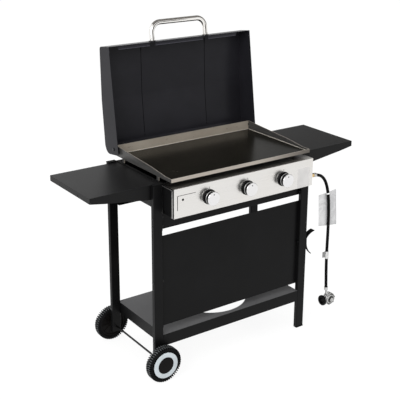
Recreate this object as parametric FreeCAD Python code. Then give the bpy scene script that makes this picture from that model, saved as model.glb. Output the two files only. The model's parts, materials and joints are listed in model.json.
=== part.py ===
"""Outdoor gas griddle station on two wheels and two feet, with a hinged lid and two side shelves.

Millimetres. X runs to the right as the cook sees it, Y from the cook to the back, Z up from the floor.
Everything is drawn with Y = 0 at the front faces of the front legs, and saved about the middle of the
whole depth. The lid is drawn closed and then swung open about its hinge.
"""
import FreeCAD
import Part

import math
import os

V = FreeCAD.Vector
AX, AY, AZ = V(1, 0, 0), V(0, 1, 0), V(0, 0, 1)
SIDES = {"left": -1, "right": 1}

# Clearances
seat_gap = 0.3
running_gap = 0.05
hole_gap = 0.25
sheet = 1.2

# Frame
frame_inside = 682.0
frame_depth = 350.0
leg_width = 38.0
leg_depth = 19.0
leg_wall = 1.5
leg_corner = 2.5
leg_top = 795.0
bolt_stock = 12.0
cap_plate = 3.0
cap_overhang = 1.0
cap_plug = 14.0
foot_plate = 4.0

# Wheels
wheel_radius = 73.0
tyre_width = 35.0
tyre_wall = 17.0
wheel_gap = 11.0
lug_height = 3.0
lug_count = 48
lug_length = 11.5
lug_side_reach = 12.0
lug_side_depth = 1.6
groove_share = 0.44
tread_pit = 5.0
axle_radius = 4.0
leg_below_axle = 19.0
ring_rim = 3.0
ring_width = 18.3
ring_proud = 2.6
hub_web = 14.0
hub_boss = 14.0
hub_rim_wall = 5.0
hub_ribs = 10
hub_rib_thick = 2.4
hub_rib_drop = 3.0
nut_pocket_radius = 10.0
nut_pocket_depth = 9.0
axle_nut_radius = 7.0
axle_nut_length = 6.0
spacer_radius = 8.0

# Rails, front sheet and bottom shelf
rail_below_firebox = 4.0
rail_height = 67.5
rail_set_back = 16.0
rail_lip = 12.0
leg_edge_gap = 1.0
sheet_above_shelf = 30.5
sheet_slot = 28.0
sheet_hem = 12.0
shelf_top = 178.5
shelf_apron = 49.0
shelf_lip = 10.0
tank_hole_radius = 154.0
tank_hole_lip = 6.0
frame_bolt_radius = 3.0
frame_bolt_head = 6.0
frame_bolt_head_height = 3.2
frame_nut_height = 4.5
frame_nut_radius = 5.4
bolt_pitch = 35.0
sheet_bolt_height = 403.5

# Side shelves
side_shelf_reach = 252.0
side_shelf_below_leg_top = 1.0
side_shelf_end_lip = 22.0
side_shelf_root_depth = 57.0
side_shelf_brace_depth = 83.0
side_shelf_knee = 60.0
side_shelf_knee_depth = 32.0
brace_flange = 26.0
shelf_bolt_drop = (16.0, 44.0)

# Control panel
panel_leg_gap = 7.0
panel_front = -68.35
panel_below_leg_top = 1.5
panel_height = 114.9
panel_top_flange = 84.0
panel_bottom_flange = 20.0
panel_flange_at_leg = 5.0
panel_screw_radius = 2.4
panel_screw_head = 4.6
panel_screw_height = 2.2

# Knobs and valves
knob_pitch = 179.3
knob_offset = 2.7
knob_rise = 56.4
knob_face = 31.0
knob_radius = 27.0
knob_band = 9.0
knob_grip_radius = 24.6
knob_rear = 4.2
knob_push = 3.0
knob_shell = 2.5
knob_hub_radius = 7.5
knob_edge = 1.6
knob_dimple_radius = 1.4
knob_dimple_depth = 0.6
knob_dimple_at = 19.0
bezel_radius = 29.0
bezel_height = 6.0
stem_radius = 4.0
stem_in_knob = 16.0
stem_in_plug = 5.0
plug_radius = 7.0
plug_length = 24.0
valve_radius = 10.5
valve_behind_panel = 11.35
valve_nose = 7.0
valve_tail = 7.0
orifice_radius = 3.0
orifice_length = 7.0
panel_valve_hole = 11.5
manifold_radius = 10.5
manifold_wall = 2.5
manifold_behind_panel = 28.35
manifold_drop = 27.5
saddle_width = 18.0

# Burners and firebox
burner_radius = 14.0
burner_wall = 1.2
burner_mouth_radius = 11.0
burner_throat_radius = 8.5
burner_mouth_past_valve = 2.4
burner_throat_past_wall = 4.0
burner_tube_past_wall = 32.0
burner_rear_space = 24.0
burner_tab_past_wall = 4.0
burner_tab_thick = 3.0
port_count = 12
port_width = 1.6
port_depth = 3.0
air_window = 12.0
firebox_front = 8.0
firebox_leg_gap = 1.0
firebox_above_panel = 5.4
firebox_flange = 14.0
tray_below_leg_top = 5.5
vent_count = 5
vent_width = 14.0
vent_length = 150.0
electrode_radius = 2.0
electrode_space = 3.0
spark_length = 11.0
ceramic_radius = 4.0
ceramic_front = 10.0
ceramic_over_tube = 14.0

# Griddle
griddle_leg_gap = 9.0
griddle_behind_panel = 20.35
griddle_past_legs = 2.7
griddle_rise = 18.0
plate_thick = 5.0
guard_thick = 2.5
lip_height = 13.4
lip_thick = 3.0
guard_rear_height = 41.5
guard_knee_back = 136.0
guard_knee_height = 24.5
guard_run_out_back = 40.0
ear_radius = 12.0
foot_width = 14.0
foot_thick = 3.0
foot_front = 40.0
foot_rear = 30.0
drain_inset = 32.0
drain_radius = 5.0
drain_wall = 1.5
spout_above_wall = 4.0
cup_width = 64.0
cup_depth = 38.0
cup_height = 46.0
cup_below_spout = 8.0

# Lid
hinge_past_griddle = 1.3
hinge_rise = 26.0
lid_open_angle = 97.7
lid_side_space = 10.0
lid_wall = 1.2
lid_past_lip = 3.0
lid_rim = -36.0
lid_front_top = 36.0
lid_crown_at = 194.0
lid_crown = 59.0
lid_rear_top_at = 12.0
lid_rear_top = 65.0
lid_rear = -22.2
lid_rear_round = 32.0
lid_front_round = 12.0
lid_heel_round = 8.0
ledge_depth = 16.0
ledge_half = 291.0
ledge_slant = 6.0
ledge_notch = 26.0
rib_at = 156.0
rib_width = 4.0
rib_height = 1.2
rib_margin = 20.0
hinge_pin_radius = 4.0
hinge_bush_radius = 6.0
hinge_bush_flange = 9.0
hinge_head_radius = 7.0
hinge_head_height = 3.0
pin_collar_radius = 5.6
pin_collar = 2.0
handle_radius = 11.0
handle_wall = 1.5
handle_half = 129.0
handle_reach = 84.0
handle_bend = 40.0
handle_height = -12.0
washer_radius = 14.0
washer_thick = 3.0
handle_screw_radius = 3.0
handle_screw_head = 5.0
handle_screw_head_height = 1.0
handle_screw_length = 24.0
handle_plug_floor = 4.0
handle_screw_short = 6.0

# Gas hose and regulator
fitting_hex = 11.0
fitting_hex_length = 18.0
fitting_barrel = 7.5
fitting_reach = 31.0
ferrule_radius = 8.6
ferrule_length = 13.0
ferrule_knee = 7.0
hose_radius = 6.45
hose_route = [
    (13.0, -1.5),
    (31.0, -5.1),
    (50.6, -16.3),
    (67.2, -36.3),
    (79.4, -63.9),
    (88.4, -101.1),
    (94.4, -148.7),
    (97.4, -210.5),
    (97.6, -285.5),
    (96.6, -360.5),
    (98.2, -445.5),
    (103.0, -529.5),
]
tag_width = 98.0
tag_height = 164.0
tag_thick = 0.6
tag_band_height = 11.0
tag_band_wall = 0.9
band_gap = 0.7
tag_drop = 97.5
clip_drop = 361.5
clip_height = 32.0
clip_wall = 1.8
clip_tab = 15.0
clip_tab_thick = 4.0
regulator_across = 122.0
regulator_drop = 589.5
regulator_edge = 3.0
bonnet_base = 4.0
regulator_radius = 27.0
regulator_depth = 30.0
bonnet_radius = 19.0
bonnet_height = 5.0
vent_cap_radius = 9.0
vent_cap_height = 6.0
neck_radius = 5.0
nut_radius = 24.0
nut_length = 24.0
nut_ribs = 24
nut_rib_radius = 1.6
nut_gap_from_body = 4.0
nut_stem_radius = 8.0
coupling_bore = 16.6

# Hose hook
hook_width = 18.0
hook_thick = 2.5
hook_tip_reach = 42.0
hook_top_rise = 36.0
hook_tail_drop = 74.0
hook_tail_reach = 34.0
hook_flat = 24.0
hook_tip_width = 24.0
hook_tail_width = 5.0

# Places that follow from the sizes above
leg_x = frame_inside / 2 + leg_width / 2
leg_out = frame_inside / 2 + leg_width
wheel_floor_leg = wheel_radius - leg_below_axle
ring_outer = wheel_radius - tyre_wall - ring_rim
ring_inner = ring_outer - ring_width
wall_out = frame_inside / 2 - seat_gap
panel_half = frame_inside / 2 - panel_leg_gap
panel_top = leg_top - panel_below_leg_top
panel_bottom = panel_top - panel_height
knob_height = panel_bottom + knob_rise
knob_x = [knob_offset + step * knob_pitch for step in (-1, 0, 1)]
knob_face_y = panel_front - knob_face
knob_rear_y = panel_front - knob_rear
side_shelf_top = leg_top - side_shelf_below_leg_top
side_shelf_out = leg_out + side_shelf_reach
firebox_rear = frame_depth - leg_depth - firebox_leg_gap
firebox_bottom = panel_bottom + firebox_above_panel
rail_top = firebox_bottom - rail_below_firebox
rail_bottom = rail_top - rail_height
sheet_top = rail_bottom - sheet_slot
sheet_bottom = shelf_top + sheet_above_shelf
hook_bolt_z = sheet_bolt_height
manifold_y = panel_front + manifold_behind_panel
manifold_z = knob_height - manifold_drop
manifold_end = panel_half
valve_front = panel_front + valve_behind_panel
plug_front = valve_front + valve_nose + seat_gap
plug_rear = plug_front + plug_length
valve_rear = plug_rear + seat_gap + valve_tail
burner_mouth_y = valve_rear + burner_mouth_past_valve
burner_throat_y = firebox_front + burner_throat_past_wall
burner_tube_y = firebox_front + burner_tube_past_wall
burner_end_y = firebox_rear - burner_rear_space
electrode_offset = burner_radius + ceramic_radius + electrode_space
griddle_half = frame_inside / 2 - griddle_leg_gap
griddle_front = panel_front + griddle_behind_panel
griddle_rear = frame_depth + griddle_past_legs
griddle_bottom = leg_top + griddle_rise
lip_top = griddle_bottom + lip_height
guard_rear_top = griddle_bottom + guard_rear_height
guard_knee_y = griddle_front + guard_knee_back
guard_knee_z = griddle_bottom + guard_knee_height
guard_run_out_y = griddle_front + guard_run_out_back
foot_y = (firebox_front + foot_front, firebox_rear - foot_rear)
drain_x = drain_inset - griddle_half
hinge_y = griddle_rear + hinge_past_griddle
hinge_z = griddle_bottom + hinge_rise
lid_half = griddle_half + lid_side_space
lid_front = hinge_y - griddle_front + lid_past_lip
fitting_face = manifold_end + fitting_reach
regulator_x = fitting_face + regulator_across
regulator_z = manifold_z - regulator_drop
tag_top_z = manifold_z - tag_drop
clip_top_z = manifold_z - clip_drop


def lid_point_open(forward, height):
    """Y and Z, with the lid open, of a point given forward of the hinge and above it on the closed lid."""
    turn = math.radians(lid_open_angle)
    y = hinge_y - forward * math.cos(turn) + height * math.sin(turn)
    z = hinge_z + forward * math.sin(turn) + height * math.cos(turn)
    return y, z


def lid_top_at(forward):
    """Height of the lid's top surface over the hinge, on its two straight slopes."""
    if forward >= lid_crown_at:
        share = (forward - lid_crown_at) / (lid_front - lid_crown_at)
        return lid_crown + share * (lid_front_top - lid_crown)
    share = (lid_crown_at - forward) / (lid_crown_at - lid_rear_top_at)
    return lid_crown + share * (lid_rear_top - lid_crown)


def lid_back_reach():
    """Rearmost Y of the open lid: the front end of a rib, or the round of the front top corner."""
    rib_start = lid_front - lid_front_round - rib_margin
    rib_y = lid_point_open(rib_start, lid_top_at(rib_start) + rib_height)[0]
    centre_forward = lid_front - lid_front_round
    slope = math.atan((lid_crown - lid_front_top) / (lid_front - lid_crown_at))
    centre_height = lid_top_at(centre_forward) - lid_front_round / math.cos(slope)
    round_y = lid_point_open(centre_forward, centre_height)[0] + lid_front_round
    return max(rib_y, round_y)


def lid_stop_height():
    """Height of the rear wall's lower edge, which leans on the back of the griddle when the lid is open."""
    turn = math.radians(lid_open_angle)
    return (griddle_rear + seat_gap - hinge_y + lid_rear * math.cos(turn)) / math.sin(turn)


middle_y = (knob_face_y + lid_back_reach()) / 2


def box(x0, x1, y0, y1, z0, z1):
    """Box between two corners given in either order."""
    low = V(min(x0, x1), min(y0, y1), min(z0, z1))
    return Part.makeBox(abs(x1 - x0), abs(y1 - y0), abs(z1 - z0), low)


def rod(start, direction, radius, length):
    return Part.makeCylinder(radius, length, start, direction)


def pipe(start, direction, radius, bore, length):
    return rod(start, direction, radius, length).cut(rod(start, direction, bore, length))


def hexagon(start, direction, radius, length):
    """Hexagonal bar whose corners lie on the radius."""
    turn = FreeCAD.Rotation(AZ, direction)
    corners = []
    for step in range(7):
        angle = math.radians(60 * step)
        corners.append(start + turn.multVec(V(radius * math.cos(angle), radius * math.sin(angle), 0)))
    return Part.Face(Part.makePolygon(corners)).extrude(direction * length)


def turned(profile, centre, direction):
    """Solid of revolution: profile is a list of (radius, distance along the axis) points."""
    points = [V(radius, 0, along) for radius, along in profile]
    face = Part.Face(Part.makePolygon(points + [points[0]]))
    solid = face.revolve(V(0, 0, 0), AZ, 360)
    solid.Placement = FreeCAD.Placement(centre, FreeCAD.Rotation(AZ, direction))
    return solid


def plate_yz(points, x0, x1):
    """Flat plate with its outline in the YZ plane."""
    corners = [V(x0, y, z) for y, z in points]
    return Part.Face(Part.makePolygon(corners + [corners[0]])).extrude(V(x1 - x0, 0, 0))


def plate_xz(points, y0, y1):
    """Flat plate with its outline in the XZ plane."""
    corners = [V(x, y0, z) for x, z in points]
    return Part.Face(Part.makePolygon(corners + [corners[0]])).extrude(V(0, y1 - y0, 0))


def fused(shapes):
    """One solid from touching shapes, with the seams between flat faces removed."""
    return shapes[0].fuse(shapes[1:]).removeSplitter()


def rounded_bar(x0, x1, y0, y1, z0, z1, radius):
    """Upright bar with its four long corners rounded."""
    bar = box(x0, x1, y0, y1, z0, z1)
    upright = [edge for edge in bar.Edges if abs(edge.tangentAt(edge.FirstParameter).z) > 0.9]
    return bar.makeFillet(radius, upright)


def save(node, solids):
    """Write one node, moved so that Y = 0 is the middle of the whole depth."""
    shape = solids if isinstance(solids, Part.Shape) else Part.makeCompound(solids)
    shape = shape.copy()
    shape.translate(V(0, -middle_y, 0))
    shape.exportStep(f"parts/{node}.step")
    print(node, len(shape.Solids), "solid", round(shape.Volume / 1000, 1), "cm3", shape.isValid())


def leg_front_y(place):
    """Front face of a front or rear leg."""
    return 0.0 if place == "front" else frame_depth - leg_depth


def leg_foot_z(side):
    return wheel_floor_leg if side == "left" else foot_plate


def cross_bolt(side, y, z, clamped):
    """Bolt through a leg along X, with its head outside and a nut inside the clamped flange."""
    sign = SIDES[side]
    inwards = V(-sign, 0, 0)
    head_at = V(sign * leg_out, y, z)
    dome = turned(
        [(0, 0), (frame_bolt_head, 0), (frame_bolt_head * 0.8, frame_bolt_head_height * 0.75),
         (frame_bolt_head * 0.4, frame_bolt_head_height), (0, frame_bolt_head_height)],
        head_at, V(sign, 0, 0))
    grip = leg_width + seat_gap + clamped
    shank = rod(head_at, inwards, frame_bolt_radius, grip + frame_nut_height + 2)
    nut_at = head_at + inwards * grip
    nut = hexagon(nut_at, inwards, frame_nut_radius, frame_nut_height)
    nut = nut.cut(rod(nut_at, inwards, frame_bolt_radius + running_gap, frame_nut_height))
    return [fused([dome, shank]), nut]


def bolt_hole(side, y, z):
    """Clearance hole for a cross bolt, long enough for the leg and the flange inside it."""
    sign = SIDES[side]
    start = V(sign * (leg_out + 1), y, z)
    return rod(start, V(-sign, 0, 0), frame_bolt_radius + hole_gap, leg_width + 6)


def shelf_screw_hole(side, place, z):
    """Hole along Y through the leg wall, the shelf apron and the brace flange."""
    back_of_leg = leg_depth if place == "front" else frame_depth - leg_depth
    start = V(SIDES[side] * leg_x, back_of_leg - bolt_stock / 2, z)
    return rod(start, AY, frame_bolt_radius + hole_gap, bolt_stock)


rail_bolt_z = [rail_bottom + rail_height / 2 + step * bolt_pitch / 2 for step in (-1, 1)]
shelf_bolt_z = shelf_top - shelf_apron / 2
shelf_screw_z = [side_shelf_top - drop for drop in shelf_bolt_drop]
leg_bolt_z = rail_bolt_z + [sheet_bolt_height, shelf_bolt_z]


def leg(place, side):
    """Rectangular steel tube with its bolt holes."""
    sign = SIDES[side]
    y0 = leg_front_y(place)
    y1 = y0 + leg_depth
    inner = sign * frame_inside / 2
    outer = sign * leg_out
    low = leg_foot_z(side)
    tube = rounded_bar(min(inner, outer), max(inner, outer), y0, y1, low, leg_top, leg_corner)
    hollow = box(inner + sign * leg_wall, outer - sign * leg_wall, y0 + leg_wall, y1 - leg_wall,
                 low, leg_top)
    cutters = [hollow] + [bolt_hole(side, y0 + leg_depth / 2, z) for z in leg_bolt_z]
    cutters += [shelf_screw_hole(side, place, z) for z in shelf_screw_z]
    if side == "left":
        cutters.append(rod(V(sign * leg_x, y0 - 1, wheel_radius), AY, axle_radius + hole_gap, leg_depth + 2))
    return tube.cut(cutters)


def leg_cap(place, side, z, upwards, plate):
    """Plastic end cap: a plate over the tube's end and a plug inside it."""
    sign = SIDES[side]
    y0 = leg_front_y(place)
    out = cap_overhang
    x0 = sign * leg_x - leg_width / 2
    x1 = sign * leg_x + leg_width / 2
    x_low = x0 - (out if sign < 0 else 0)
    x_high = x1 + (out if sign > 0 else 0)
    y_low = y0 - (out if place == "front" else 0)
    y_high = y0 + leg_depth + (out if place == "rear" else 0)
    top = rounded_bar(x_low, x_high, y_low, y_high, *sorted((z, z + upwards * plate)), leg_corner)
    inset = leg_wall + seat_gap
    plug = box(x0 + inset, x1 - inset, y0 + inset, y0 + leg_depth - inset, z, z - upwards * cap_plug)
    if side == "left" and upwards < 0:
        plug = plug.cut(rod(V(sign * leg_x, y0, wheel_radius), AY, axle_radius + hole_gap, leg_depth))
    return fused([top, plug])


def leg_caps():
    caps = []
    for place in ("front", "rear"):
        for side in SIDES:
            plate = foot_plate if side == "right" else cap_plate
            caps.append(leg_cap(place, side, leg_top, 1, cap_plate))
            caps.append(leg_cap(place, side, leg_foot_z(side), -1, plate))
    return caps


def folded_panel(z0, z1, facing):
    """Steel sheet between the legs: web set back from the leg faces, end flanges and two lips."""
    half = frame_inside / 2 - seat_gap
    if facing == "front":
        web = rail_set_back
        edge = leg_edge_gap
        inner = web + rail_lip
    else:
        web = frame_depth - rail_set_back
        edge = frame_depth - leg_edge_gap
        inner = web - rail_lip
    back = web + (sheet if facing == "front" else -sheet)
    pieces = [box(-half, half, web, back, z0, z1)]
    pieces.append(box(-half, half, web, inner, z0, z0 + sheet))
    pieces.append(box(-half, half, web, inner, z1 - sheet, z1))
    for sign in (-1, 1):
        pieces.append(box(sign * (half - sheet), sign * half, edge, back, z0, z1))
    return fused(pieces)


def rail(facing):
    y = leg_front_y(facing) + leg_depth / 2
    holes = [bolt_hole(side, y, z) for side in SIDES for z in rail_bolt_z]
    return folded_panel(rail_bottom, rail_top, facing).cut(holes)


def front_sheet():
    """Plain sheet between the front legs, hemmed flat so that the gas cylinder passes behind it."""
    half = frame_inside / 2 - seat_gap
    back = rail_set_back + sheet
    pieces = [box(-half, half, rail_set_back, back, sheet_bottom, sheet_top)]
    pieces.append(box(-half, half, back, back + sheet, sheet_bottom, sheet_bottom + sheet_hem))
    pieces.append(box(-half, half, back, back + sheet, sheet_top - sheet_hem, sheet_top))
    for sign in (-1, 1):
        flange = box(sign * (half - sheet), sign * half, leg_edge_gap, back, sheet_bottom, sheet_top)
        pieces.append(flange)
    holes = [bolt_hole(side, leg_depth / 2, sheet_bolt_height) for side in SIDES]
    return fused(pieces).cut(holes)


def bottom_shelf():
    """Tray with deep aprons, turned-in lips and a lipped hole that cradles the gas cylinder."""
    half = frame_inside / 2 - seat_gap
    low = shelf_top - shelf_apron
    shell = box(-half, half, 0, frame_depth, low, shelf_top)
    inside = box(-half + sheet, half - sheet, sheet, frame_depth - sheet, low + sheet, shelf_top - sheet)
    lip = sheet + shelf_lip
    mouth = box(-half + lip, half - lip, lip, frame_depth - lip, low, low + sheet)
    centre = V(0, frame_depth / 2, shelf_top)
    collar = pipe(centre, -AZ, tank_hole_radius + sheet, tank_hole_radius, tank_hole_lip)
    tray = shell.cut([inside, mouth, rod(centre, -AZ, tank_hole_radius, 2 * sheet)]).fuse(collar)
    holes = []
    for place in ("front", "rear"):
        for side in SIDES:
            holes.append(bolt_hole(side, leg_front_y(place) + leg_depth / 2, shelf_bolt_z))
    return tray.removeSplitter().cut(holes)


def frame_bolts():
    bolts = []
    for place in ("front", "rear"):
        y = leg_front_y(place) + leg_depth / 2
        for side in SIDES:
            for z in rail_bolt_z + [shelf_bolt_z]:
                bolts += cross_bolt(side, y, z, sheet)
    bolts += cross_bolt("left", leg_depth / 2, sheet_bolt_height, sheet)
    return bolts


def side_shelf(side):
    """Sheet-metal shelf: tapered front and rear aprons, an end lip and a cross brace at the legs."""
    sign = SIDES[side]
    y0 = leg_depth + seat_gap
    y1 = frame_depth - leg_depth - seat_gap
    root = frame_inside / 2 + seat_gap
    end = side_shelf_out
    top = side_shelf_top
    outline = [
        (sign * root, top), (sign * end, top), (sign * end, top - side_shelf_end_lip),
        (sign * (end - side_shelf_knee), top - side_shelf_knee_depth),
        (sign * leg_out, top - side_shelf_root_depth), (sign * root, top - side_shelf_root_depth)]
    pieces = [plate_xz(outline, y0, y0 + sheet), plate_xz(outline, y1 - sheet, y1)]
    pieces.append(box(sign * root, sign * end, y0, y1, top - sheet, top))
    pieces.append(box(sign * (end - sheet), sign * end, y0, y1, top - side_shelf_end_lip, top))
    brace_low = top - side_shelf_brace_depth
    pieces.append(box(sign * (leg_out - sheet), sign * leg_out, y0, y1, brace_low, top - sheet))
    for y_in, y_out in ((y0 + sheet, y0 + 2 * sheet), (y1 - 2 * sheet, y1 - sheet)):
        flange = box(sign * leg_out, sign * (leg_out - brace_flange), y_in, y_out, brace_low, top - sheet)
        pieces.append(flange)
    holes = [shelf_screw_hole(side, place, z) for place in ("front", "rear") for z in shelf_screw_z]
    return fused(pieces).cut(holes)


def shelf_screws():
    """Screws from under each shelf into the backs of the legs."""
    screws = []
    for sign in SIDES.values():
        for face, into in ((leg_depth + seat_gap + 2 * sheet, -AY),
                           (frame_depth - leg_depth - seat_gap - 2 * sheet, AY)):
            for z in shelf_screw_z:
                start = V(sign * leg_x, face, z)
                head = rod(start, -into, frame_bolt_head * 0.8, frame_bolt_head_height)
                screws.append(fused([head, rod(start, into, frame_bolt_radius, 5)]))
    return screws


def panel_screw(side, y, z, face_x):
    """Short screw whose head lies on an end plate's outer face."""
    sign = SIDES[side]
    start = V(sign * face_x, y, z)
    head = rod(start, V(sign, 0, 0), panel_screw_head, panel_screw_height)
    return fused([head, rod(start, V(-sign, 0, 0), panel_screw_radius, 6)])


def control_panel():
    """Folded stainless fascia with a long top flange that runs back under the griddle."""
    face = box(-panel_half, panel_half, panel_front, panel_front + sheet, panel_bottom, panel_top)
    top = box(-panel_half, panel_half, panel_front, panel_front + panel_top_flange,
              panel_top - sheet, panel_top)
    bottom = box(-panel_half, panel_half, panel_front, panel_front + panel_bottom_flange,
                 panel_bottom, panel_bottom + sheet)
    fascia = fused([face, top, bottom])
    outer = [edge for edge in fascia.Edges
             if abs(edge.BoundBox.YMin - panel_front) < 0.01 and edge.BoundBox.YLength < 0.01
             and edge.BoundBox.XLength > panel_half]
    fascia = fascia.makeFillet(sheet * 1.5, outer)
    holes = [rod(V(x, panel_front - 1, knob_height), AY, panel_valve_hole, 2 * sheet + 1) for x in knob_x]
    return fascia.cut(holes)


def panel_end(side):
    """End plate between the fascia and the leg, with an outward flange against the leg."""
    sign = SIDES[side]
    out = panel_half - seat_gap
    z0 = panel_bottom + sheet + seat_gap
    z1 = panel_top - sheet - seat_gap
    y0 = panel_front + sheet + seat_gap
    y1 = panel_flange_at_leg
    plate = box(sign * (out - sheet), sign * out, y0, y1, z0, z1)
    flange = box(sign * (out - sheet), sign * wall_out, y1 - sheet, y1, z0, z1)
    end = fused([plate, flange])
    cuts = [rod(V(sign * (out + 1), y, z), V(-sign, 0, 0), panel_screw_radius + hole_gap, 4)
            for y, z in panel_screw_places()]
    if side == "right":
        cuts.append(rod(V(out - 2 * sheet, manifold_y, manifold_z), AX, manifold_radius + hole_gap, 6))
    return end.cut(cuts)


def panel_screw_places():
    inset = panel_screw_head + 2
    y = panel_flange_at_leg - sheet - inset
    return [(y, panel_bottom + sheet + inset), (y, panel_top - sheet - inset)]


def panel_screws():
    face = panel_half - seat_gap
    screws = [panel_screw(side, y, z, face) for side in SIDES for y, z in panel_screw_places()]
    for sign in SIDES.values():
        for y in (frame_depth * 0.33, frame_depth * 0.74):
            start = V(sign * side_shelf_out, y, side_shelf_top - side_shelf_end_lip * 0.72)
            screws.append(rod(start, V(sign, 0, 0), panel_screw_head * 0.6, 1.0))
    return screws


def knob(x):
    """Hollow knob: grip, wide face band with a soft edge, and a hub on the valve stem."""
    band_rear = knob_face - knob_band
    shell = [
        (0, knob_face), (knob_radius - knob_edge, knob_face), (knob_radius, knob_face - knob_edge),
        (knob_radius, band_rear + knob_edge), (knob_radius - knob_edge, band_rear),
        (knob_grip_radius, band_rear), (knob_grip_radius, knob_rear),
        (knob_grip_radius - knob_shell, knob_rear),
        (knob_grip_radius - knob_shell, knob_face - knob_shell * 2),
        (knob_hub_radius, knob_face - knob_shell * 2), (knob_hub_radius, knob_rear + knob_push),
        (stem_radius + running_gap, knob_rear + knob_push),
        (stem_radius + running_gap, knob_rear + knob_push + stem_in_knob + seat_gap),
        (0, knob_rear + knob_push + stem_in_knob + seat_gap)]
    body = turned(shell, V(x, panel_front, knob_height), -AY)
    dimple = rod(V(x, knob_face_y, knob_height + knob_dimple_at), AY, knob_dimple_radius, knob_dimple_depth)
    return body.cut(dimple)


def knob_bezel(x):
    """Fixed ring on the fascia that the back of the knob runs in."""
    bore = knob_grip_radius + 0.6
    profile = [(bore, seat_gap), (bezel_radius, seat_gap), (bezel_radius, bezel_height * 0.6),
               (bezel_radius - 1.2, bezel_height), (bore, bezel_height)]
    return turned(profile, V(x, panel_front, knob_height), -AY)


def valve_stem(x):
    """Brass stem: slides in the plug and carries the knob."""
    front = knob_rear_y - knob_push - stem_in_knob
    rear = plug_front + stem_in_plug
    return rod(V(x, front, knob_height), AY, stem_radius, rear - front)


def valve_plug(x):
    """Gas plug that turns in the valve body, bored for the stem and drilled across for the gas."""
    body = rod(V(x, plug_front, knob_height), AY, plug_radius, plug_length)
    socket = stem_in_plug + knob_push + 1
    bore = rod(V(x, plug_front, knob_height), AY, stem_radius + running_gap, socket)
    port = rod(V(x, plug_rear - orifice_radius * 2, knob_height - plug_radius - 1), AZ,
               orifice_radius * 0.7, plug_radius + 1)
    outlet = rod(V(x, plug_rear - orifice_radius * 2, knob_height), AY, orifice_radius * 0.7, plug_radius)
    return body.cut([bore, port, outlet])


def valve_body(x):
    """Valve casting on the manifold, with its nose, plug bore and gas orifice."""
    y_length = valve_rear - valve_front
    barrel = rod(V(x, valve_front, knob_height), AY, valve_radius, y_length)
    nose = hexagon(V(x, valve_front, knob_height), AY, valve_radius + 1.5, valve_nose)
    saddle = box(x - saddle_width / 2, x + saddle_width / 2, manifold_y - saddle_width / 2,
                 manifold_y + saddle_width / 2, manifold_z, knob_height)
    orifice = rod(V(x, valve_rear, knob_height), AY, orifice_radius, orifice_length)
    solid = barrel.fuse([nose, saddle, orifice])
    bore = rod(V(x, plug_front - seat_gap, knob_height), AY, plug_radius + running_gap,
               plug_length + 2 * seat_gap)
    nose_bore = rod(V(x, valve_front - 1, knob_height), AY, stem_radius + running_gap, valve_nose + 2)
    jet = rod(V(x, plug_rear, knob_height), AY, orifice_radius * 0.4, valve_tail + orifice_length + 2)
    seat = rod(V(x - saddle_width, manifold_y, manifold_z), AX, manifold_radius + seat_gap,
               2 * saddle_width)
    return solid.cut([bore, nose_bore, jet, seat])


def gas_manifold():
    """Supply pipe behind the fascia, closed at the left and open to the hose fitting at the right."""
    start = -(panel_half - 2 * seat_gap - sheet)
    body = rod(V(start, manifold_y, manifold_z), AX, manifold_radius, manifold_end - start)
    bore = rod(V(start + 6, manifold_y, manifold_z), AX, manifold_radius - manifold_wall,
               manifold_end - start)
    return body.cut(bore)


def burner(x):
    """Tube burner: air mouth and throat in front, ported tube, and a flat tab in the rear wall."""
    z = knob_height
    wall = burner_wall
    outline = [(burner_mouth_radius, burner_mouth_y), (burner_throat_radius, burner_throat_y),
               (burner_radius, burner_tube_y), (burner_radius, burner_end_y)]
    outer = turned([(0, burner_mouth_y)] + outline + [(0, burner_end_y)], V(x, 0, z), AY)
    inside = [(0, burner_mouth_y - 1), (burner_mouth_radius - wall, burner_mouth_y - 1)]
    inside += [(radius - wall, y) for radius, y in outline[:-1]]
    inside += [(burner_radius - wall, burner_end_y - wall), (0, burner_end_y - wall)]
    tube = outer.cut(turned(inside, V(x, 0, z), AY))
    tab = box(x - burner_radius * 0.6, x + burner_radius * 0.6, burner_end_y - 1,
              firebox_rear + burner_tab_past_wall, z - burner_tab_thick / 2, z + burner_tab_thick / 2)
    pitch = (burner_end_y - burner_tube_y) / (port_count + 1)
    ports = []
    for step in range(1, port_count + 1):
        y = burner_tube_y + step * pitch
        ports.append(box(x - burner_radius, x + burner_radius, y, y + port_width,
                         z + burner_radius - port_depth, z + burner_radius + 1))
    window_y = (burner_mouth_y + burner_throat_y) / 2
    ports.append(box(x - burner_mouth_radius, x + burner_mouth_radius, window_y - air_window / 2,
                     window_y + air_window / 2, z - 2, z + 2))
    return tube.fuse(tab).cut(ports)


def igniter_electrode(x):
    """Ceramic rod through the firebox front wall with a bent spark wire over the burner."""
    y0 = firebox_front - ceramic_front
    y1 = burner_tube_y + ceramic_over_tube
    ceramic = rod(V(x + electrode_offset, y0, knob_height), AY, ceramic_radius, y1 - y0)
    wire = rod(V(x + electrode_offset, y1, knob_height), AY, electrode_radius, spark_length)
    return fused([ceramic, wire])


def burner_axis_holes():
    """Holes in the firebox front wall for the burner throats and electrodes."""
    holes = []
    taper = (burner_mouth_radius - burner_throat_radius) / (burner_throat_y - burner_mouth_y)
    for x in knob_x:
        radius = burner_throat_radius + taper * (burner_throat_y - firebox_front) + seat_gap
        holes.append(rod(V(x, firebox_front - 2, knob_height), AY, radius, 3 * sheet + 4))
        holes.append(rod(V(x + electrode_offset, firebox_front - 2, knob_height), AY,
                         ceramic_radius + running_gap, 3 * sheet + 4))
    return holes


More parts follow.
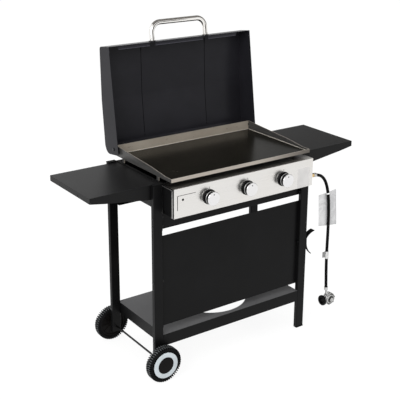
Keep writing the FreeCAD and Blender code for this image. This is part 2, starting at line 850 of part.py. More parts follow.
def firebox_tray():
    """Folded front wall, floor and rear wall of the firebox, with air slots and burner holes."""
    half = wall_out - sheet - seat_gap
    z0 = firebox_bottom + sheet + seat_gap
    z1 = leg_top - tray_below_leg_top
    floor = box(-half, half, firebox_front, firebox_rear, z0, z0 + sheet)
    front = box(-half, half, firebox_front, firebox_front + sheet, z0, z1)
    rear = box(-half, half, firebox_rear - sheet, firebox_rear, z0, z1)
    cuts = burner_axis_holes()
    for x in knob_x:
        tab = burner_tab_thick / 2 + seat_gap
        width = burner_radius * 0.6 + seat_gap
        cuts.append(box(x - width, x + width, firebox_rear - 2 * sheet, firebox_rear + 1,
                        knob_height - tab, knob_height + tab))
    middle = (firebox_front + firebox_rear) / 2
    pitch = 2 * half / (vent_count + 1)
    for step in range(1, vent_count + 1):
        x = -half + step * pitch
        cuts.append(box(x - vent_width / 2, x + vent_width / 2, middle - vent_length / 2,
                        middle + vent_length / 2, z0 - 1, z0 + 2 * sheet))
    return fused([floor, front, rear]).cut(cuts)


def firebox_wall(side):
    """Side wall of the firebox: the lower flange holds the tray, the upper one holds the griddle."""
    sign = SIDES[side]
    out = sign * wall_out
    inner = sign * (wall_out - sheet)
    reach = sign * (wall_out - firebox_flange)
    y0 = panel_flange_at_leg + seat_gap
    web = box(inner, out, y0, firebox_rear, firebox_bottom, leg_top)
    low = box(reach, out, y0, firebox_rear, firebox_bottom, firebox_bottom + sheet)
    top = box(reach, out, y0, firebox_rear, leg_top - sheet, leg_top)
    return fused([web, low, top])


def griddle_plate():
    """Cooking plate with a front lip, rising side guards, a rear guard, hinge ears, feet and a drain."""
    half = griddle_half
    plate = box(-half, half, griddle_front, griddle_rear, griddle_bottom, griddle_bottom + plate_thick)
    lip = box(-half, half, griddle_front, griddle_front + lip_thick, griddle_bottom, lip_top)
    rear = box(-half, half, griddle_rear - guard_thick, griddle_rear, griddle_bottom, guard_rear_top)
    outline = [(griddle_front, griddle_bottom), (griddle_rear, griddle_bottom),
               (griddle_rear, guard_rear_top), (guard_knee_y, guard_knee_z),
               (guard_run_out_y, lip_top), (griddle_front, lip_top)]
    pieces = [plate, lip, rear]
    hinge_holes = []
    for sign in (-1, 1):
        inner = sign * (half - guard_thick)
        pieces.append(plate_yz(outline, inner, sign * half))
        centre = V(inner, hinge_y, hinge_z)
        pieces.append(rod(centre, V(sign, 0, 0), ear_radius, guard_thick))
        hinge_holes.append(rod(centre - V(sign, 0, 0), V(sign, 0, 0), hinge_pin_radius + running_gap, 8))
        hinge_holes.append(rod(centre, V(-sign, 0, 0), pin_collar_radius + seat_gap, pin_collar + 1))
        for y in foot_y:
            outer = sign * (half - guard_thick)
            pieces.append(box(outer - sign * foot_thick, outer, y - foot_width / 2, y + foot_width / 2,
                              leg_top + seat_gap, griddle_bottom))
    drain = V(drain_x, (griddle_rear + firebox_rear) / 2, griddle_bottom)
    spout_low = leg_top + spout_above_wall
    spout = pipe(V(drain.x, drain.y, spout_low), AZ, drain_radius + drain_wall, drain_radius,
                 griddle_bottom - spout_low)
    pieces.append(spout)
    body = fused(pieces)
    return body.cut(hinge_holes + [rod(drain - V(0, 0, 1), AZ, drain_radius, plate_thick + 2)])


def grease_cup():
    """Open tin behind the firebox, under the drain, with a back plate that is screwed to the wall."""
    y0 = firebox_rear + seat_gap
    y1 = y0 + cup_depth
    z1 = leg_top - cup_below_spout
    z0 = z1 - cup_height
    x0 = drain_x - cup_width / 2
    x1 = drain_x + cup_width / 2
    if x0 < -(wall_out - sheet):
        x0 = -(wall_out - sheet)
    body = box(x0, x1, y0, y1, z0, z1)
    return body.cut(box(x0 + sheet, x1 - sheet, y0 + sheet, y1 - sheet, z0 + sheet, z1 + 1))


def wheel_centre_y(place):
    """Middle of a wheel's tyre: the wheels stand outside the left legs."""
    out = wheel_gap + tyre_width / 2
    return -out if place == "front" else frame_depth + out


def wheel_outwards(place):
    return -AY if place == "front" else AY


def wheel_point(place, along):
    """Point on the axle, measured outwards from the tyre's inner side."""
    start = wheel_centre_y(place) - wheel_outwards(place).y * tyre_width / 2
    return V(-leg_x, start + wheel_outwards(place).y * along, wheel_radius)


def tyre(place):
    """Solid tyre with staggered lugs that wrap both shoulders and a row of pits along the middle."""
    inner = wheel_radius - tyre_wall
    bulge = tyre_width * 0.16
    profile = [(inner, bulge), (inner + 4, 0), (wheel_radius - 6, 0), (wheel_radius, bulge),
               (wheel_radius, tyre_width - bulge), (wheel_radius - 6, tyre_width),
               (inner + 4, tyre_width), (inner, tyre_width - bulge)]
    ring = turned(profile, wheel_point(place, 0), wheel_outwards(place))
    pitch = 360.0 / lug_count
    gap = 2 * math.pi * wheel_radius / lug_count * groove_share
    floor = wheel_radius - lug_height
    side_low = wheel_radius - lug_side_reach
    groove = [(side_low, -1), (side_low, lug_side_depth), (floor - bulge / 2, lug_side_depth),
              (floor, bulge), (floor, lug_length), (wheel_radius + 1, lug_length), (wheel_radius + 1, -1)]
    middle = (tyre_width - tread_pit) / 2
    pit = [(floor, middle), (floor, middle + tread_pit), (wheel_radius + 1, middle + tread_pit),
           (wheel_radius + 1, middle)]
    far_groove = [(radius, tyre_width - along) for radius, along in groove]
    cuts = []
    for outline, shift in ((groove, 0.0), (far_groove, 0.5), (pit, 0.25)):
        corners = [V(radius, -gap / 2, along) for radius, along in outline]
        cutter = Part.Face(Part.makePolygon(corners + [corners[0]])).extrude(V(0, gap, 0))
        for step in range(lug_count):
            copy = cutter.copy()
            copy.rotate(V(0, 0, 0), AZ, (step + shift) * pitch)
            cuts.append(copy)
    cutters = Part.makeCompound(cuts)
    cutters.Placement = FreeCAD.Placement(wheel_point(place, 0), FreeCAD.Rotation(AZ, wheel_outwards(place)))
    return ring.cut(cutters)


def hub(place):
    """Moulded wheel centre: ribbed inner side, running bore, closed nut pocket and a seat for the ring."""
    rim = wheel_radius - tyre_wall - running_gap
    bore = axle_radius + running_gap
    front = tyre_width + ring_proud * 0.4
    web_low = (tyre_width - hub_web) / 2
    pocket_out = front - 3
    pocket_in = pocket_out - nut_pocket_depth
    bulge = tyre_width * 0.16
    profile = [
        (bore, 0), (hub_boss, 0), (hub_boss, web_low), (rim - hub_rim_wall, web_low),
        (rim - hub_rim_wall, bulge), (rim, bulge),
        (rim, tyre_width - bulge), (ring_outer, tyre_width - bulge), (ring_outer, tyre_width - 2),
        (ring_inner - seat_gap, tyre_width - 2), (ring_inner - seat_gap, tyre_width),
        (ring_inner - 5, front), (0, front + 1), (0, pocket_out),
        (nut_pocket_radius, pocket_out), (nut_pocket_radius, pocket_in), (bore, pocket_in)]
    ribs = []
    for step in range(hub_ribs):
        rib = box(hub_boss - 1, rim - hub_rim_wall + 1, -hub_rib_thick / 2, hub_rib_thick / 2,
                  bulge + hub_rib_drop, web_low + 1)
        rib.rotate(V(0, 0, 0), AZ, step * 360.0 / hub_ribs)
        ribs.append(rib)
    ribbed = Part.makeCompound(ribs)
    ribbed.Placement = FreeCAD.Placement(wheel_point(place, 0), FreeCAD.Rotation(AZ, wheel_outwards(place)))
    return turned(profile, wheel_point(place, 0), wheel_outwards(place)).fuse(ribbed)


def trim_ring(place):
    """Pale ring seated on the outer face of the hub."""
    base = tyre_width - 2 + running_gap
    face = tyre_width + ring_proud
    profile = [(ring_inner, base), (ring_outer, base), (ring_outer, face - 1.2),
               (ring_outer - 1.5, face), (ring_inner + 1.5, face), (ring_inner, face - 1.2)]
    return turned(profile, wheel_point(place, 0), wheel_outwards(place))


def axle_end():
    """How far the axle reaches past a tyre's inner side, to the far side of its nut."""
    front = tyre_width + ring_proud * 0.4
    return front - 3 - 1.5


def wheel_axle():
    start = wheel_point("front", axle_end())
    length = wheel_point("rear", axle_end()).y - start.y
    return rod(start, AY, axle_radius, length)


def axle_nuts():
    nuts = []
    for place in ("front", "rear"):
        out = wheel_outwards(place)
        start = wheel_point(place, axle_end() - 0.5 - axle_nut_length)
        nut = rod(start, out, axle_nut_radius, axle_nut_length)
        nuts.append(nut.cut(rod(start, out, axle_radius + running_gap, axle_nut_length)))
    return nuts


def axle_spacers():
    spacers = []
    for place in ("front", "rear"):
        out = wheel_outwards(place)
        start = wheel_point(place, -seat_gap)
        length = wheel_gap - 2 * seat_gap
        spacers.append(pipe(start, -out, spacer_radius, axle_radius + running_gap, length))
    return spacers


def lid_closed_place(forward, height):
    """Y and Z on the closed lid of a point given forward of the hinge and above it."""
    return V(0, hinge_y - forward, hinge_z + height)


def lid_profile(inset, rim):
    """Closed outline of the lid in the YZ plane, set in by a wall where asked."""
    front = lid_front - inset
    rear = lid_rear + inset
    corners = [
        (front, rim), (front, lid_front_top - inset), (lid_crown_at, lid_crown - inset),
        (lid_rear_top_at, lid_rear_top - inset), (rear, lid_rear_top - lid_rear_round * 0.3 - inset),
        (rear, rim)]
    points = [lid_closed_place(forward, height) for forward, height in corners]
    wire = Part.makePolygon(points + [points[0]])
    return Part.Face(wire)


def swing_open(shape):
    """Turn a piece of the closed lid to the open rest position."""
    turned_shape = shape.copy()
    turned_shape.rotate(V(0, hinge_y, hinge_z), AX, -lid_open_angle)
    return turned_shape


def edge_at(shape, forward, height):
    """Long edge of the closed lid body that passes nearest the given corner."""
    target = lid_closed_place(forward, height)

    def miss(edge):
        box_of = edge.BoundBox
        return math.hypot(box_of.Center.y - target.y, box_of.Center.z - target.z)

    long_edges = [edge for edge in shape.Edges if edge.BoundBox.XLength > lid_half]
    return min(long_edges, key=miss)


def lid_body(inset, half, rim):
    """Solid lid shape with rounded front and rear top corners."""
    body = lid_profile(inset, rim).extrude(V(2 * half, 0, 0))
    body.translate(V(-half, 0, 0))
    front_edge = edge_at(body, lid_front - inset, lid_front_top - inset)
    body = body.makeFillet(lid_front_round - inset, [front_edge])
    rear_low = lid_rear_top - lid_rear_round * 0.3 - inset
    body = body.makeFillet(lid_rear_round - inset, [edge_at(body, lid_rear + inset, rear_low)])
    return body


def lid_shell():
    """Pressed lid: thin shell open below, with a cut-back rear wall, ribs and a ledge for the lip."""
    outer = lid_body(0.0, lid_half, lid_rim)
    inner = lid_body(lid_wall, lid_half - lid_wall, lid_rim - 1)
    back = lid_closed_place(lid_rear - 1, lid_rim - 1)
    front_of_cut = lid_closed_place(lid_rear + 2 * lid_wall, lid_stop_height())
    inner_half = lid_half - lid_wall
    rear_cut = box(-inner_half, inner_half, back.y, front_of_cut.y, back.z, front_of_cut.z)
    shell = outer.cut([inner, rear_cut, heel_cut()])
    shell = shell.fuse([lid_ledge()] + [lid_rib(sign * rib_at, 0.0) for sign in (-1, 1)])
    cuts = [lid_rib(sign * rib_at, lid_wall) for sign in (-1, 1)]
    for sign in (-1, 1):
        centre = V(sign * (lid_half - 3), hinge_y, hinge_z)
        cuts.append(rod(centre, V(sign, 0, 0), hinge_bush_radius + running_gap, 6))
        place = lid_closed_place(lid_front + 1, handle_height)
        cuts.append(rod(V(sign * handle_half, place.y, place.z), AY, handle_screw_radius + hole_gap, 4))
    return swing_open(shell.cut(cuts))


def lid_ledge():
    """Shelf inside the front wall, notched round the handle screws, that sits on the griddle's lip."""
    back = lid_front - lid_wall / 2
    free = lid_front - lid_wall - ledge_depth
    low = lip_top + seat_gap - hinge_z
    half = ledge_half - ledge_slant
    outline = [(-ledge_half, back), (ledge_half, back), (half, free), (-half, free)]
    corners = [lid_closed_place(forward, low) + V(x, 0, 0) for x, forward in outline]
    plate = Part.Face(Part.makePolygon(corners + [corners[0]])).extrude(V(0, 0, lid_wall))
    behind = lid_closed_place(lid_front - lid_wall - handle_screw_head_height - hole_gap, 0).y
    across = ledge_notch / 2
    cuts = []
    for sign in (-1, 1):
        x = sign * handle_half
        cuts.append(box(x - across, x + across, behind - 2 * lid_wall, behind + ledge_depth,
                        hinge_z + low - 1, hinge_z + low + 2 * lid_wall))
    return plate.cut(cuts)


def heel_cut():
    """What rounds the lower rear corners of the lid's side walls."""
    corner = lid_closed_place(lid_rear, lid_rim)
    r = lid_heel_round
    block = box(-lid_half - 1, lid_half + 1, corner.y - r, corner.y + 1, corner.z - 1, corner.z + r)
    centre = V(-lid_half - 1, corner.y - r, corner.z + r)
    return block.cut(rod(centre, AX, r, 2 * lid_half + 2))


def lid_rib(x, drop):
    """Shallow pressed rib along the lid's top, at its outer surface or a wall below it."""
    width = rib_width - drop
    start = lid_front - lid_front_round - rib_margin - drop
    end = lid_rear_top_at + rib_margin + drop
    corners = []
    for forward in (start, lid_crown_at, end):
        corners.append((forward, lid_top_at(forward) + rib_height - drop))
    for forward in (end, lid_crown_at, start):
        corners.append((forward, lid_top_at(forward) - lid_wall * 0.5 - drop))
    points = [lid_closed_place(forward, height) + V(x - width / 2, 0, 0) for forward, height in corners]
    return Part.Face(Part.makePolygon(points + [points[0]])).extrude(V(width, 0, 0))


def handle_path(y_wall):
    """Wire along the middle of the handle tube: out, round, along, round and back."""
    z = hinge_z + handle_height
    x = handle_half
    y_out = y_wall - washer_thick - handle_reach + handle_radius + washer_thick
    r = handle_bend
    start = y_wall - washer_thick
    diagonal = r * (1 - math.sqrt(0.5))
    edges = [
        Part.LineSegment(V(-x, start, z), V(-x, y_out + r, z)).toShape(),
        Part.Arc(V(-x, y_out + r, z), V(-x + diagonal, y_out + diagonal, z), V(-x + r, y_out, z)).toShape(),
        Part.LineSegment(V(-x + r, y_out, z), V(x - r, y_out, z)).toShape(),
        Part.Arc(V(x - r, y_out, z), V(x - diagonal, y_out + diagonal, z), V(x, y_out + r, z)).toShape(),
        Part.LineSegment(V(x, y_out + r, z), V(x, start, z)).toShape(),
    ]
    return Part.Wire(edges)


def swept_round(path, radius):
    """Round bar along a wire of tangent lines and arcs."""
    first = path.Edges[0]
    start = first.valueAt(first.FirstParameter)
    direction = first.tangentAt(first.FirstParameter)
    circle = Part.Wire(Part.makeCircle(radius, start, direction))
    return path.makePipeShell([circle], True, False)


def lid_handle():
    """Bent stainless tube with a tapped plug in each end."""
    path = handle_path(hinge_y - lid_front)
    tube = swept_round(path, handle_radius).cut(swept_round(path, handle_radius - handle_wall))
    pieces = [tube]
    y = hinge_y - lid_front - washer_thick
    for sign in (-1, 1):
        start = V(sign * handle_half, y, hinge_z + handle_height)
        plug = rod(start, -AY, handle_radius - handle_wall / 2, handle_screw_length)
        bore = rod(start, -AY, handle_screw_radius + running_gap, handle_screw_length - handle_plug_floor)
        pieces.append(plug.cut(bore))
    return swing_open(pieces[0].fuse(pieces[1:]).removeSplitter())


def handle_washers():
    y = hinge_y - lid_front - seat_gap / 2
    washers = []
    for sign in (-1, 1):
        start = V(sign * handle_half, y, hinge_z + handle_height)
        ring = pipe(start, -AY, washer_radius, handle_screw_radius + hole_gap, washer_thick - seat_gap)
        washers.append(swing_open(ring))
    return washers


def handle_screws():
    y = hinge_y - lid_front + lid_wall
    screws = []
    for sign in (-1, 1):
        start = V(sign * handle_half, y, hinge_z + handle_height)
        head = rod(start, AY, handle_screw_head, handle_screw_head_height)
        shank = rod(start, -AY, handle_screw_radius, handle_screw_length - handle_screw_short)
        screws.append(swing_open(fused([head, shank])))
    return screws


def hinge_bushes():
    """Flanged bushes in the lid's side walls that turn on the hinge pins."""
    bushes = []
    for sign in (-1, 1):
        start = V(sign * (griddle_half + seat_gap), hinge_y, hinge_z)
        out = V(sign, 0, 0)
        flange = lid_half - lid_wall - griddle_half - 2 * seat_gap
        body = rod(start, out, hinge_bush_flange, flange)
        sleeve = rod(start, out, hinge_bush_radius, lid_half - griddle_half - seat_gap)
        bore = rod(start, out, hinge_pin_radius + running_gap, lid_half)
        bushes.append(swing_open(fused([body, sleeve]).cut(bore)))
    return bushes


def hinge_pins():
    """Shoulder pins through the griddle's ears, headed outside the lid and inside the guard."""
    pins = []
    for sign in (-1, 1):
        out = V(sign, 0, 0)
        inner = griddle_half - guard_thick - seat_gap
        outer = lid_half + seat_gap
        shank = rod(V(sign * inner, hinge_y, hinge_z), out, hinge_pin_radius, outer - inner + 1)
        head = rod(V(sign * outer, hinge_y, hinge_z), out, hinge_head_radius, hinge_head_height)
        collar = rod(V(sign * inner, hinge_y, hinge_z), -out, pin_collar_radius, pin_collar)
        head = head.makeFillet(1.2, [edge for edge in head.Edges
                                     if abs(abs(edge.BoundBox.XMin) - outer - hinge_head_height) < 0.01])
        pins.append(fused([shank, head, collar]))
    return pins


def inlet_fitting():
    """Brass adaptor between the manifold and the hose."""
    start = V(manifold_end + seat_gap, manifold_y, manifold_z)
    nut = hexagon(start, AX, fitting_hex, fitting_hex_length)
    barrel = rod(start, AX, fitting_barrel, fitting_reach - seat_gap)
    bore = rod(start, AX, manifold_radius - manifold_wall - 4, fitting_reach)
    return fused([nut, barrel]).cut(bore)


def hose_points():
    return [V(fitting_face + across, manifold_y, manifold_z + up) for across, up in hose_route]


def hose_path(points):
    """Straight runs joined by tangent arcs, each arc as large as its two runs allow."""
    edges = []
    length = 0.0
    here = points[0]
    for before, corner, after in zip(points, points[1:], points[2:]):
        way_in = (corner - before).normalize()
        way_out = (after - corner).normalize()
        turn = way_in.getAngle(way_out)
        cut = 0.45 * min((corner - before).Length, (after - corner).Length)
        radius = cut / math.tan(turn / 2)
        arc_start = corner - way_in * cut
        arc_end = corner + way_out * cut
        bisector = (way_out - way_in).normalize()
        middle = corner + bisector * (radius / math.cos(turn / 2) - radius)
        edges.append(Part.LineSegment(here, arc_start).toShape())
        edges.append(Part.Arc(arc_start, middle, arc_end).toShape())
        length += (arc_start - here).Length + radius * turn
        print("hose bend", round(math.degrees(turn), 1), "degrees, radius", round(radius, 1))
        here = arc_end
    edges.append(Part.LineSegment(here, points[-1]).toShape())
    length += (points[-1] - here).Length
    return Part.Wire(edges), length


def gas_hose():
    path, length = hose_path(hose_points())
    hose = swept_round(path, hose_radius)
    section = math.pi * hose_radius ** 2
    print("hose length", round(length, 1), "volume share", round(hose.Volume / (section * length), 4))
    return hose


def hose_place(z):
    """Point of the hose's route at a height, and the route's direction there."""
    points = hose_points()
    for upper, lower in zip(points, points[1:]):
        if lower.z <= z <= upper.z:
            share = (upper.z - z) / (upper.z - lower.z)
            return upper + (lower - upper) * share, (lower - upper).normalize()
    raise ValueError("height is off the hose")


def hose_ferrules():
    """Crimped sleeves: the first one bends from the fitting's axis to the hose's first run."""
    points = hose_points()
    droop = (points[0] - points[1]).normalize()
    knee = points[0] + droop * ferrule_knee
    first = rod(points[0], droop, ferrule_radius, ferrule_knee)
    ball = Part.makeSphere(ferrule_knee, knee)
    sleeve = rod(V(knee.x, manifold_y, manifold_z), -AX, ferrule_radius, knee.x - fitting_face)
    return [first.fuse([ball, sleeve]), lower_ferrule()]


def lower_ferrule():
    points = hose_points()
    way = (points[-1] - points[-2]).normalize()
    return rod(points[-1], way, ferrule_radius, ferrule_length)


def hose_tag():
    """Bare tag behind the hose, held by a narrow band."""
    centre, way = hose_place(tag_top_z)
    bore = hose_radius + band_gap
    band = pipe(centre - way * (tag_band_height / 2), way, bore + tag_band_wall, bore, tag_band_height)
    y0 = centre.y + bore
    x0 = centre.x - tag_width * 0.36
    card = box(x0, x0 + tag_width, y0 + 0.2, y0 + 0.2 + tag_thick, tag_top_z - tag_height, tag_top_z)
    return fused([band, card])


def hose_clip():
    """Clear clip snapped round the hose, with a side tab."""
    centre, way = hose_place(clip_top_z - clip_height / 2)
    bore = hose_radius + seat_gap
    start = centre - way * (clip_height / 2)
    ring = pipe(start, way, bore + clip_wall, bore, clip_height)
    x1 = centre.x - bore - clip_wall / 2
    z0 = clip_top_z - clip_height
    tab = box(x1 - clip_tab, x1, centre.y - clip_tab_thick / 2, centre.y + clip_tab_thick / 2,
              z0 + clip_height * 0.25, clip_top_z)
    return fused([ring, tab])


def regulator_body():
    """Flat round gas regulator with a stepped bonnet, a vent cap, a hose neck and an inlet stem."""
    back = manifold_y + regulator_depth / 2
    edge = regulator_edge
    face = regulator_depth - bonnet_base
    profile = [
        (0, 0), (regulator_radius - edge, 0), (regulator_radius, edge),
        (regulator_radius, face - edge), (regulator_radius - edge, face),
        (bonnet_radius, face), (bonnet_radius - 2, face + bonnet_height),
        (vent_cap_radius, face + bonnet_height),
        (vent_cap_radius, face + bonnet_height + vent_cap_height),
        (0, face + bonnet_height + vent_cap_height)]
    body = turned(profile, V(regulator_x, back, regulator_z), -AY)
    points = hose_points()
    way = (points[-1] - points[-2]).normalize()
    neck_top = points[-1] + way * ferrule_length
    aim = V(regulator_x - 6, manifold_y, regulator_z)
    neck = rod(neck_top, (aim - neck_top).normalize(), neck_radius, (aim - neck_top).Length)
    stem_end = regulator_x - regulator_radius - nut_gap_from_body - nut_length * 0.6
    stem = rod(V(regulator_x, manifold_y, regulator_z), -AX, nut_stem_radius, regulator_x - stem_end)
    collar_at = regulator_x - regulator_radius - nut_gap_from_body / 2
    collar = rod(V(regulator_x, manifold_y, regulator_z), -AX, nut_stem_radius + 4, regulator_x - collar_at)
    return fused([body, neck, stem, collar]).cut(lower_ferrule())


def coupling_nut():
    """Ribbed hand nut that turns on the regulator's inlet stem."""
    x1 = regulator_x - regulator_radius - nut_gap_from_body
    start = V(x1, manifold_y, regulator_z)
    body = rod(start, -AX, nut_radius - nut_rib_radius, nut_length)
    ribs = []
    for step in range(nut_ribs):
        angle = 2 * math.pi * step / nut_ribs
        offset = V(0, math.cos(angle), math.sin(angle)) * (nut_radius - nut_rib_radius)
        ribs.append(rod(start + offset, -AX, nut_rib_radius, nut_length))
    bore = rod(start, -AX, nut_stem_radius + running_gap, nut_length * 0.7)
    mouth = rod(start - AX * (nut_length * 0.65), -AX, coupling_bore, nut_length)
    return body.fuse(ribs).cut([bore, mouth])


def hose_hook():
    """Curved flat-steel hook on the outside of the front right leg, pointed at its tail."""
    x0 = leg_out + seat_gap
    z = hook_bolt_z
    t = hook_thick
    y = leg_depth / 2
    half_flat = hook_flat / 2
    outer = Part.Wire([
        Part.Arc(V(x0 + hook_tip_reach, y, z + hook_top_rise),
                 V(x0 + hook_tip_reach * 0.36, y, z + hook_top_rise * 0.72),
                 V(x0, y, z + half_flat * 0.6)).toShape(),
        Part.LineSegment(V(x0, y, z + half_flat * 0.6), V(x0, y, z - half_flat)).toShape(),
        Part.Arc(V(x0, y, z - half_flat), V(x0 + hook_tail_reach * 0.3, y, z - hook_tail_drop * 0.62),
                 V(x0 + hook_tail_reach, y, z - hook_tail_drop)).toShape(),
        Part.LineSegment(V(x0 + hook_tail_reach, y, z - hook_tail_drop),
                         V(x0 + hook_tail_reach + t, y, z - hook_tail_drop + t)).toShape(),
        Part.Arc(V(x0 + hook_tail_reach + t, y, z - hook_tail_drop + t),
                 V(x0 + hook_tail_reach * 0.3 + t, y, z - hook_tail_drop * 0.62 + t * 0.5),
                 V(x0 + t, y, z - half_flat)).toShape(),
        Part.LineSegment(V(x0 + t, y, z - half_flat), V(x0 + t, y, z + half_flat * 0.6)).toShape(),
        Part.Arc(V(x0 + t, y, z + half_flat * 0.6),
                 V(x0 + hook_tip_reach * 0.36 + t, y, z + hook_top_rise * 0.72 - t),
                 V(x0 + hook_tip_reach, y, z + hook_top_rise - t)).toShape(),
        Part.LineSegment(V(x0 + hook_tip_reach, y, z + hook_top_rise - t),
                         V(x0 + hook_tip_reach, y, z + hook_top_rise)).toShape(),
    ])
    widest = max(hook_width, hook_tip_width, hook_tail_width)
    strip = Part.Face(outer).extrude(V(0, widest, 0))
    strip.translate(V(0, -widest / 2, 0))
    tip = z + hook_top_rise
    tail = z - hook_tail_drop - 1
    widths = [(hook_tip_width, tip + 1), (hook_width, z + half_flat), (hook_width, z - half_flat),
              (hook_tail_width, tail)]
    outline = [(y - width / 2, height) for width, height in widths]
    outline += [(y + width / 2, height) for width, height in reversed(widths)]
    strip = strip.common(plate_yz(outline, x0 - 1, x0 + hook_tip_reach + hook_tail_reach))
    return strip.cut(rod(V(x0 - 1, y, z), AX, frame_bolt_radius + hole_gap, t + 2))


def hook_bolt():
    """Cross bolt that holds the hook and the front sheet on the right leg."""
    head_x = leg_out + seat_gap + hook_thick
    start = V(head_x, leg_depth / 2, hook_bolt_z)
    head = rod(start, AX, frame_bolt_head * 0.8, frame_bolt_head_height * 0.8)
    grip = head_x - frame_inside / 2 + seat_gap + sheet
    shank = rod(start, -AX, frame_bolt_radius, grip + frame_nut_height + 2)
    nut_at = start - AX * grip
    nut = hexagon(nut_at, -AX, frame_nut_radius, frame_nut_height)
    nut = nut.cut(rod(nut_at, -AX, frame_bolt_radius + running_gap, frame_nut_height))
    return [fused([head, shank]), nut]


def build():
    os.makedirs("parts", exist_ok=True)
    for place in ("front", "rear"):
        for side in SIDES:
            save(f"leg_{place}_{side}", leg(place, side))
        save(f"{place}_rail", rail(place))
        save(f"tyre_{place}", tyre(place))
        save(f"hub_{place}", hub(place))
        save(f"trim_ring_{place}", trim_ring(place))
    for side in SIDES:
        save(f"side_shelf_{side}", side_shelf(side))
        save(f"firebox_{side}_wall", firebox_wall(side))
        save(f"panel_end_{side}", panel_end(side))
    for name, x in zip(("left", "centre", "right"), knob_x):
        save(f"burner_{name}", burner(x))
        save(f"knob_{name}", knob(x))
        save(f"valve_stem_{name}", valve_stem(x))
        save(f"valve_plug_{name}", valve_plug(x))
    save("valve_bodies", [valve_body(x) for x in knob_x])
    save("knob_bezels", [knob_bezel(x) for x in knob_x])
    save("igniter_electrodes", [igniter_electrode(x) for x in knob_x])
    save("leg_caps", leg_caps())
    save("front_sheet", front_sheet())
    save("bottom_shelf", bottom_shelf())
    save("frame_bolts", frame_bolts() + hook_bolt() + shelf_screws())
    save("panel_screws", panel_screws())
    save("control_panel", control_panel())
    save("gas_manifold", gas_manifold())
    save("firebox_tray", firebox_tray())
    save("griddle_plate", griddle_plate())
    save("grease_cup", grease_cup())
    save("wheel_axle", wheel_axle())
    save("axle_nuts", axle_nuts())
    save("axle_spacers", axle_spacers())
    save("lid_shell", lid_shell())
    save("lid_handle", lid_handle())
    save("handle_washers", handle_washers())
    save("handle_screws", handle_screws())
    save("hinge_bushes", hinge_bushes())
    save("hinge_pins", hinge_pins())
    save("inlet_fitting", inlet_fitting())
    save("hose_ferrules", hose_ferrules())
    save("gas_hose", gas_hose())
    save("hose_tag", hose_tag())
    save("hose_clip", hose_clip())
    save("regulator_body", regulator_body())
    save("coupling_nut", coupling_nut())
    save("hose_hook", hose_hook())
    print("middle of the depth", round(middle_y, 3))
    print("hinge axis y z", round(hinge_y - middle_y, 3), hinge_z)


build()
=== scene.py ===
"""Looks of a wheeled outdoor gas griddle: a finish for every piece, and the fine pieces that metal and rubber
need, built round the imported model. Metres, +Z up, and the cook stands on the -Y side."""
import json
from math import cos, pi, radians, sin, tan, tau

import bmesh
import bpy
from bpy.props import FloatProperty, FloatVectorProperty, IntProperty, PointerProperty
from bpy.types import Operator, Panel, PropertyGroup, Scene
from mathutils import Matrix, Vector


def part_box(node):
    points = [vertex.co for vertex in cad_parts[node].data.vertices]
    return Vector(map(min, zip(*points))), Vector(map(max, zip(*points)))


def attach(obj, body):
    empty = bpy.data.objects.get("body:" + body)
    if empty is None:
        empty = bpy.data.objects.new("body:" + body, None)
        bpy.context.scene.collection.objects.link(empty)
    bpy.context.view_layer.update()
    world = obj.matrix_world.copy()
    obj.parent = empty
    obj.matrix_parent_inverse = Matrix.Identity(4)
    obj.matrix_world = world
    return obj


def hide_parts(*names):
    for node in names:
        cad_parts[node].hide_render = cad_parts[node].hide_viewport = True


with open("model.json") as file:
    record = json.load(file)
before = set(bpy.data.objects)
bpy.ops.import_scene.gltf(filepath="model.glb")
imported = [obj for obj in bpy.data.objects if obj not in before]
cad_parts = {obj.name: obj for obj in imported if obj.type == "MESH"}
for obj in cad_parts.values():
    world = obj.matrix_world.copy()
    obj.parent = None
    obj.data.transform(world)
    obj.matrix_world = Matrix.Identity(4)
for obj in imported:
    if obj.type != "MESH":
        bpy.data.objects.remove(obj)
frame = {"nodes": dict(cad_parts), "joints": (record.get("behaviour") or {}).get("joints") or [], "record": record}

bl_info = {
    "name": "Gas Griddle Station",
    "version": (1, 0, 0),
    "blender": (4, 5, 0),
    "location": "View3D > Sidebar > Griddle",
    "description": "Builds the finishes and fine pieces of a wheeled outdoor gas griddle",
    "category": "Object",
}


class Box:
    """Lowest corner, highest corner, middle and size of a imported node."""

    def __init__(self, node):
        self.low, self.high = (Vector(corner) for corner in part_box(node))
        self.middle = (self.low + self.high) / 2
        self.size = self.high - self.low


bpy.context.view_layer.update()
AXIS_X, AXIS_Y, AXIS_Z = Vector((1, 0, 0)), Vector((0, 1, 0)), Vector((0, 0, 1))
TO_COOK, TO_LEFT = Vector((0, -1, 0)), Vector((-1, 0, 0))
KNOBS = ("left", "centre", "right")

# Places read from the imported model
LID_JOINT = next(joint for joint in frame["joints"] if joint["name"] == "lid_hinge")
HINGE = Vector(LID_JOINT["pos_m"])
LID_TURN = radians(LID_JOINT["range_deg"][1])
PANEL, PLATE, TYRE = Box("control_panel"), Box("griddle_plate"), Box("tyre_front")
REGULATOR, NUT = Box("regulator_body"), Box("coupling_nut")
TYRE_RADIUS = TYRE.size.z / 2
COOK_TOP = HINGE.z - 0.021

# Inside of the open lid: its ledge lies in front of LEDGE_FACE and above LEDGE_LOW
LEDGE_FACE = 0.2245
LEDGE_LOW = 1.2236
CREASE_X = 0.156
CREASE_Z = (0.852, 1.2215)
CREASE_HALF = 0.0019
CREASE_STEPS = 24

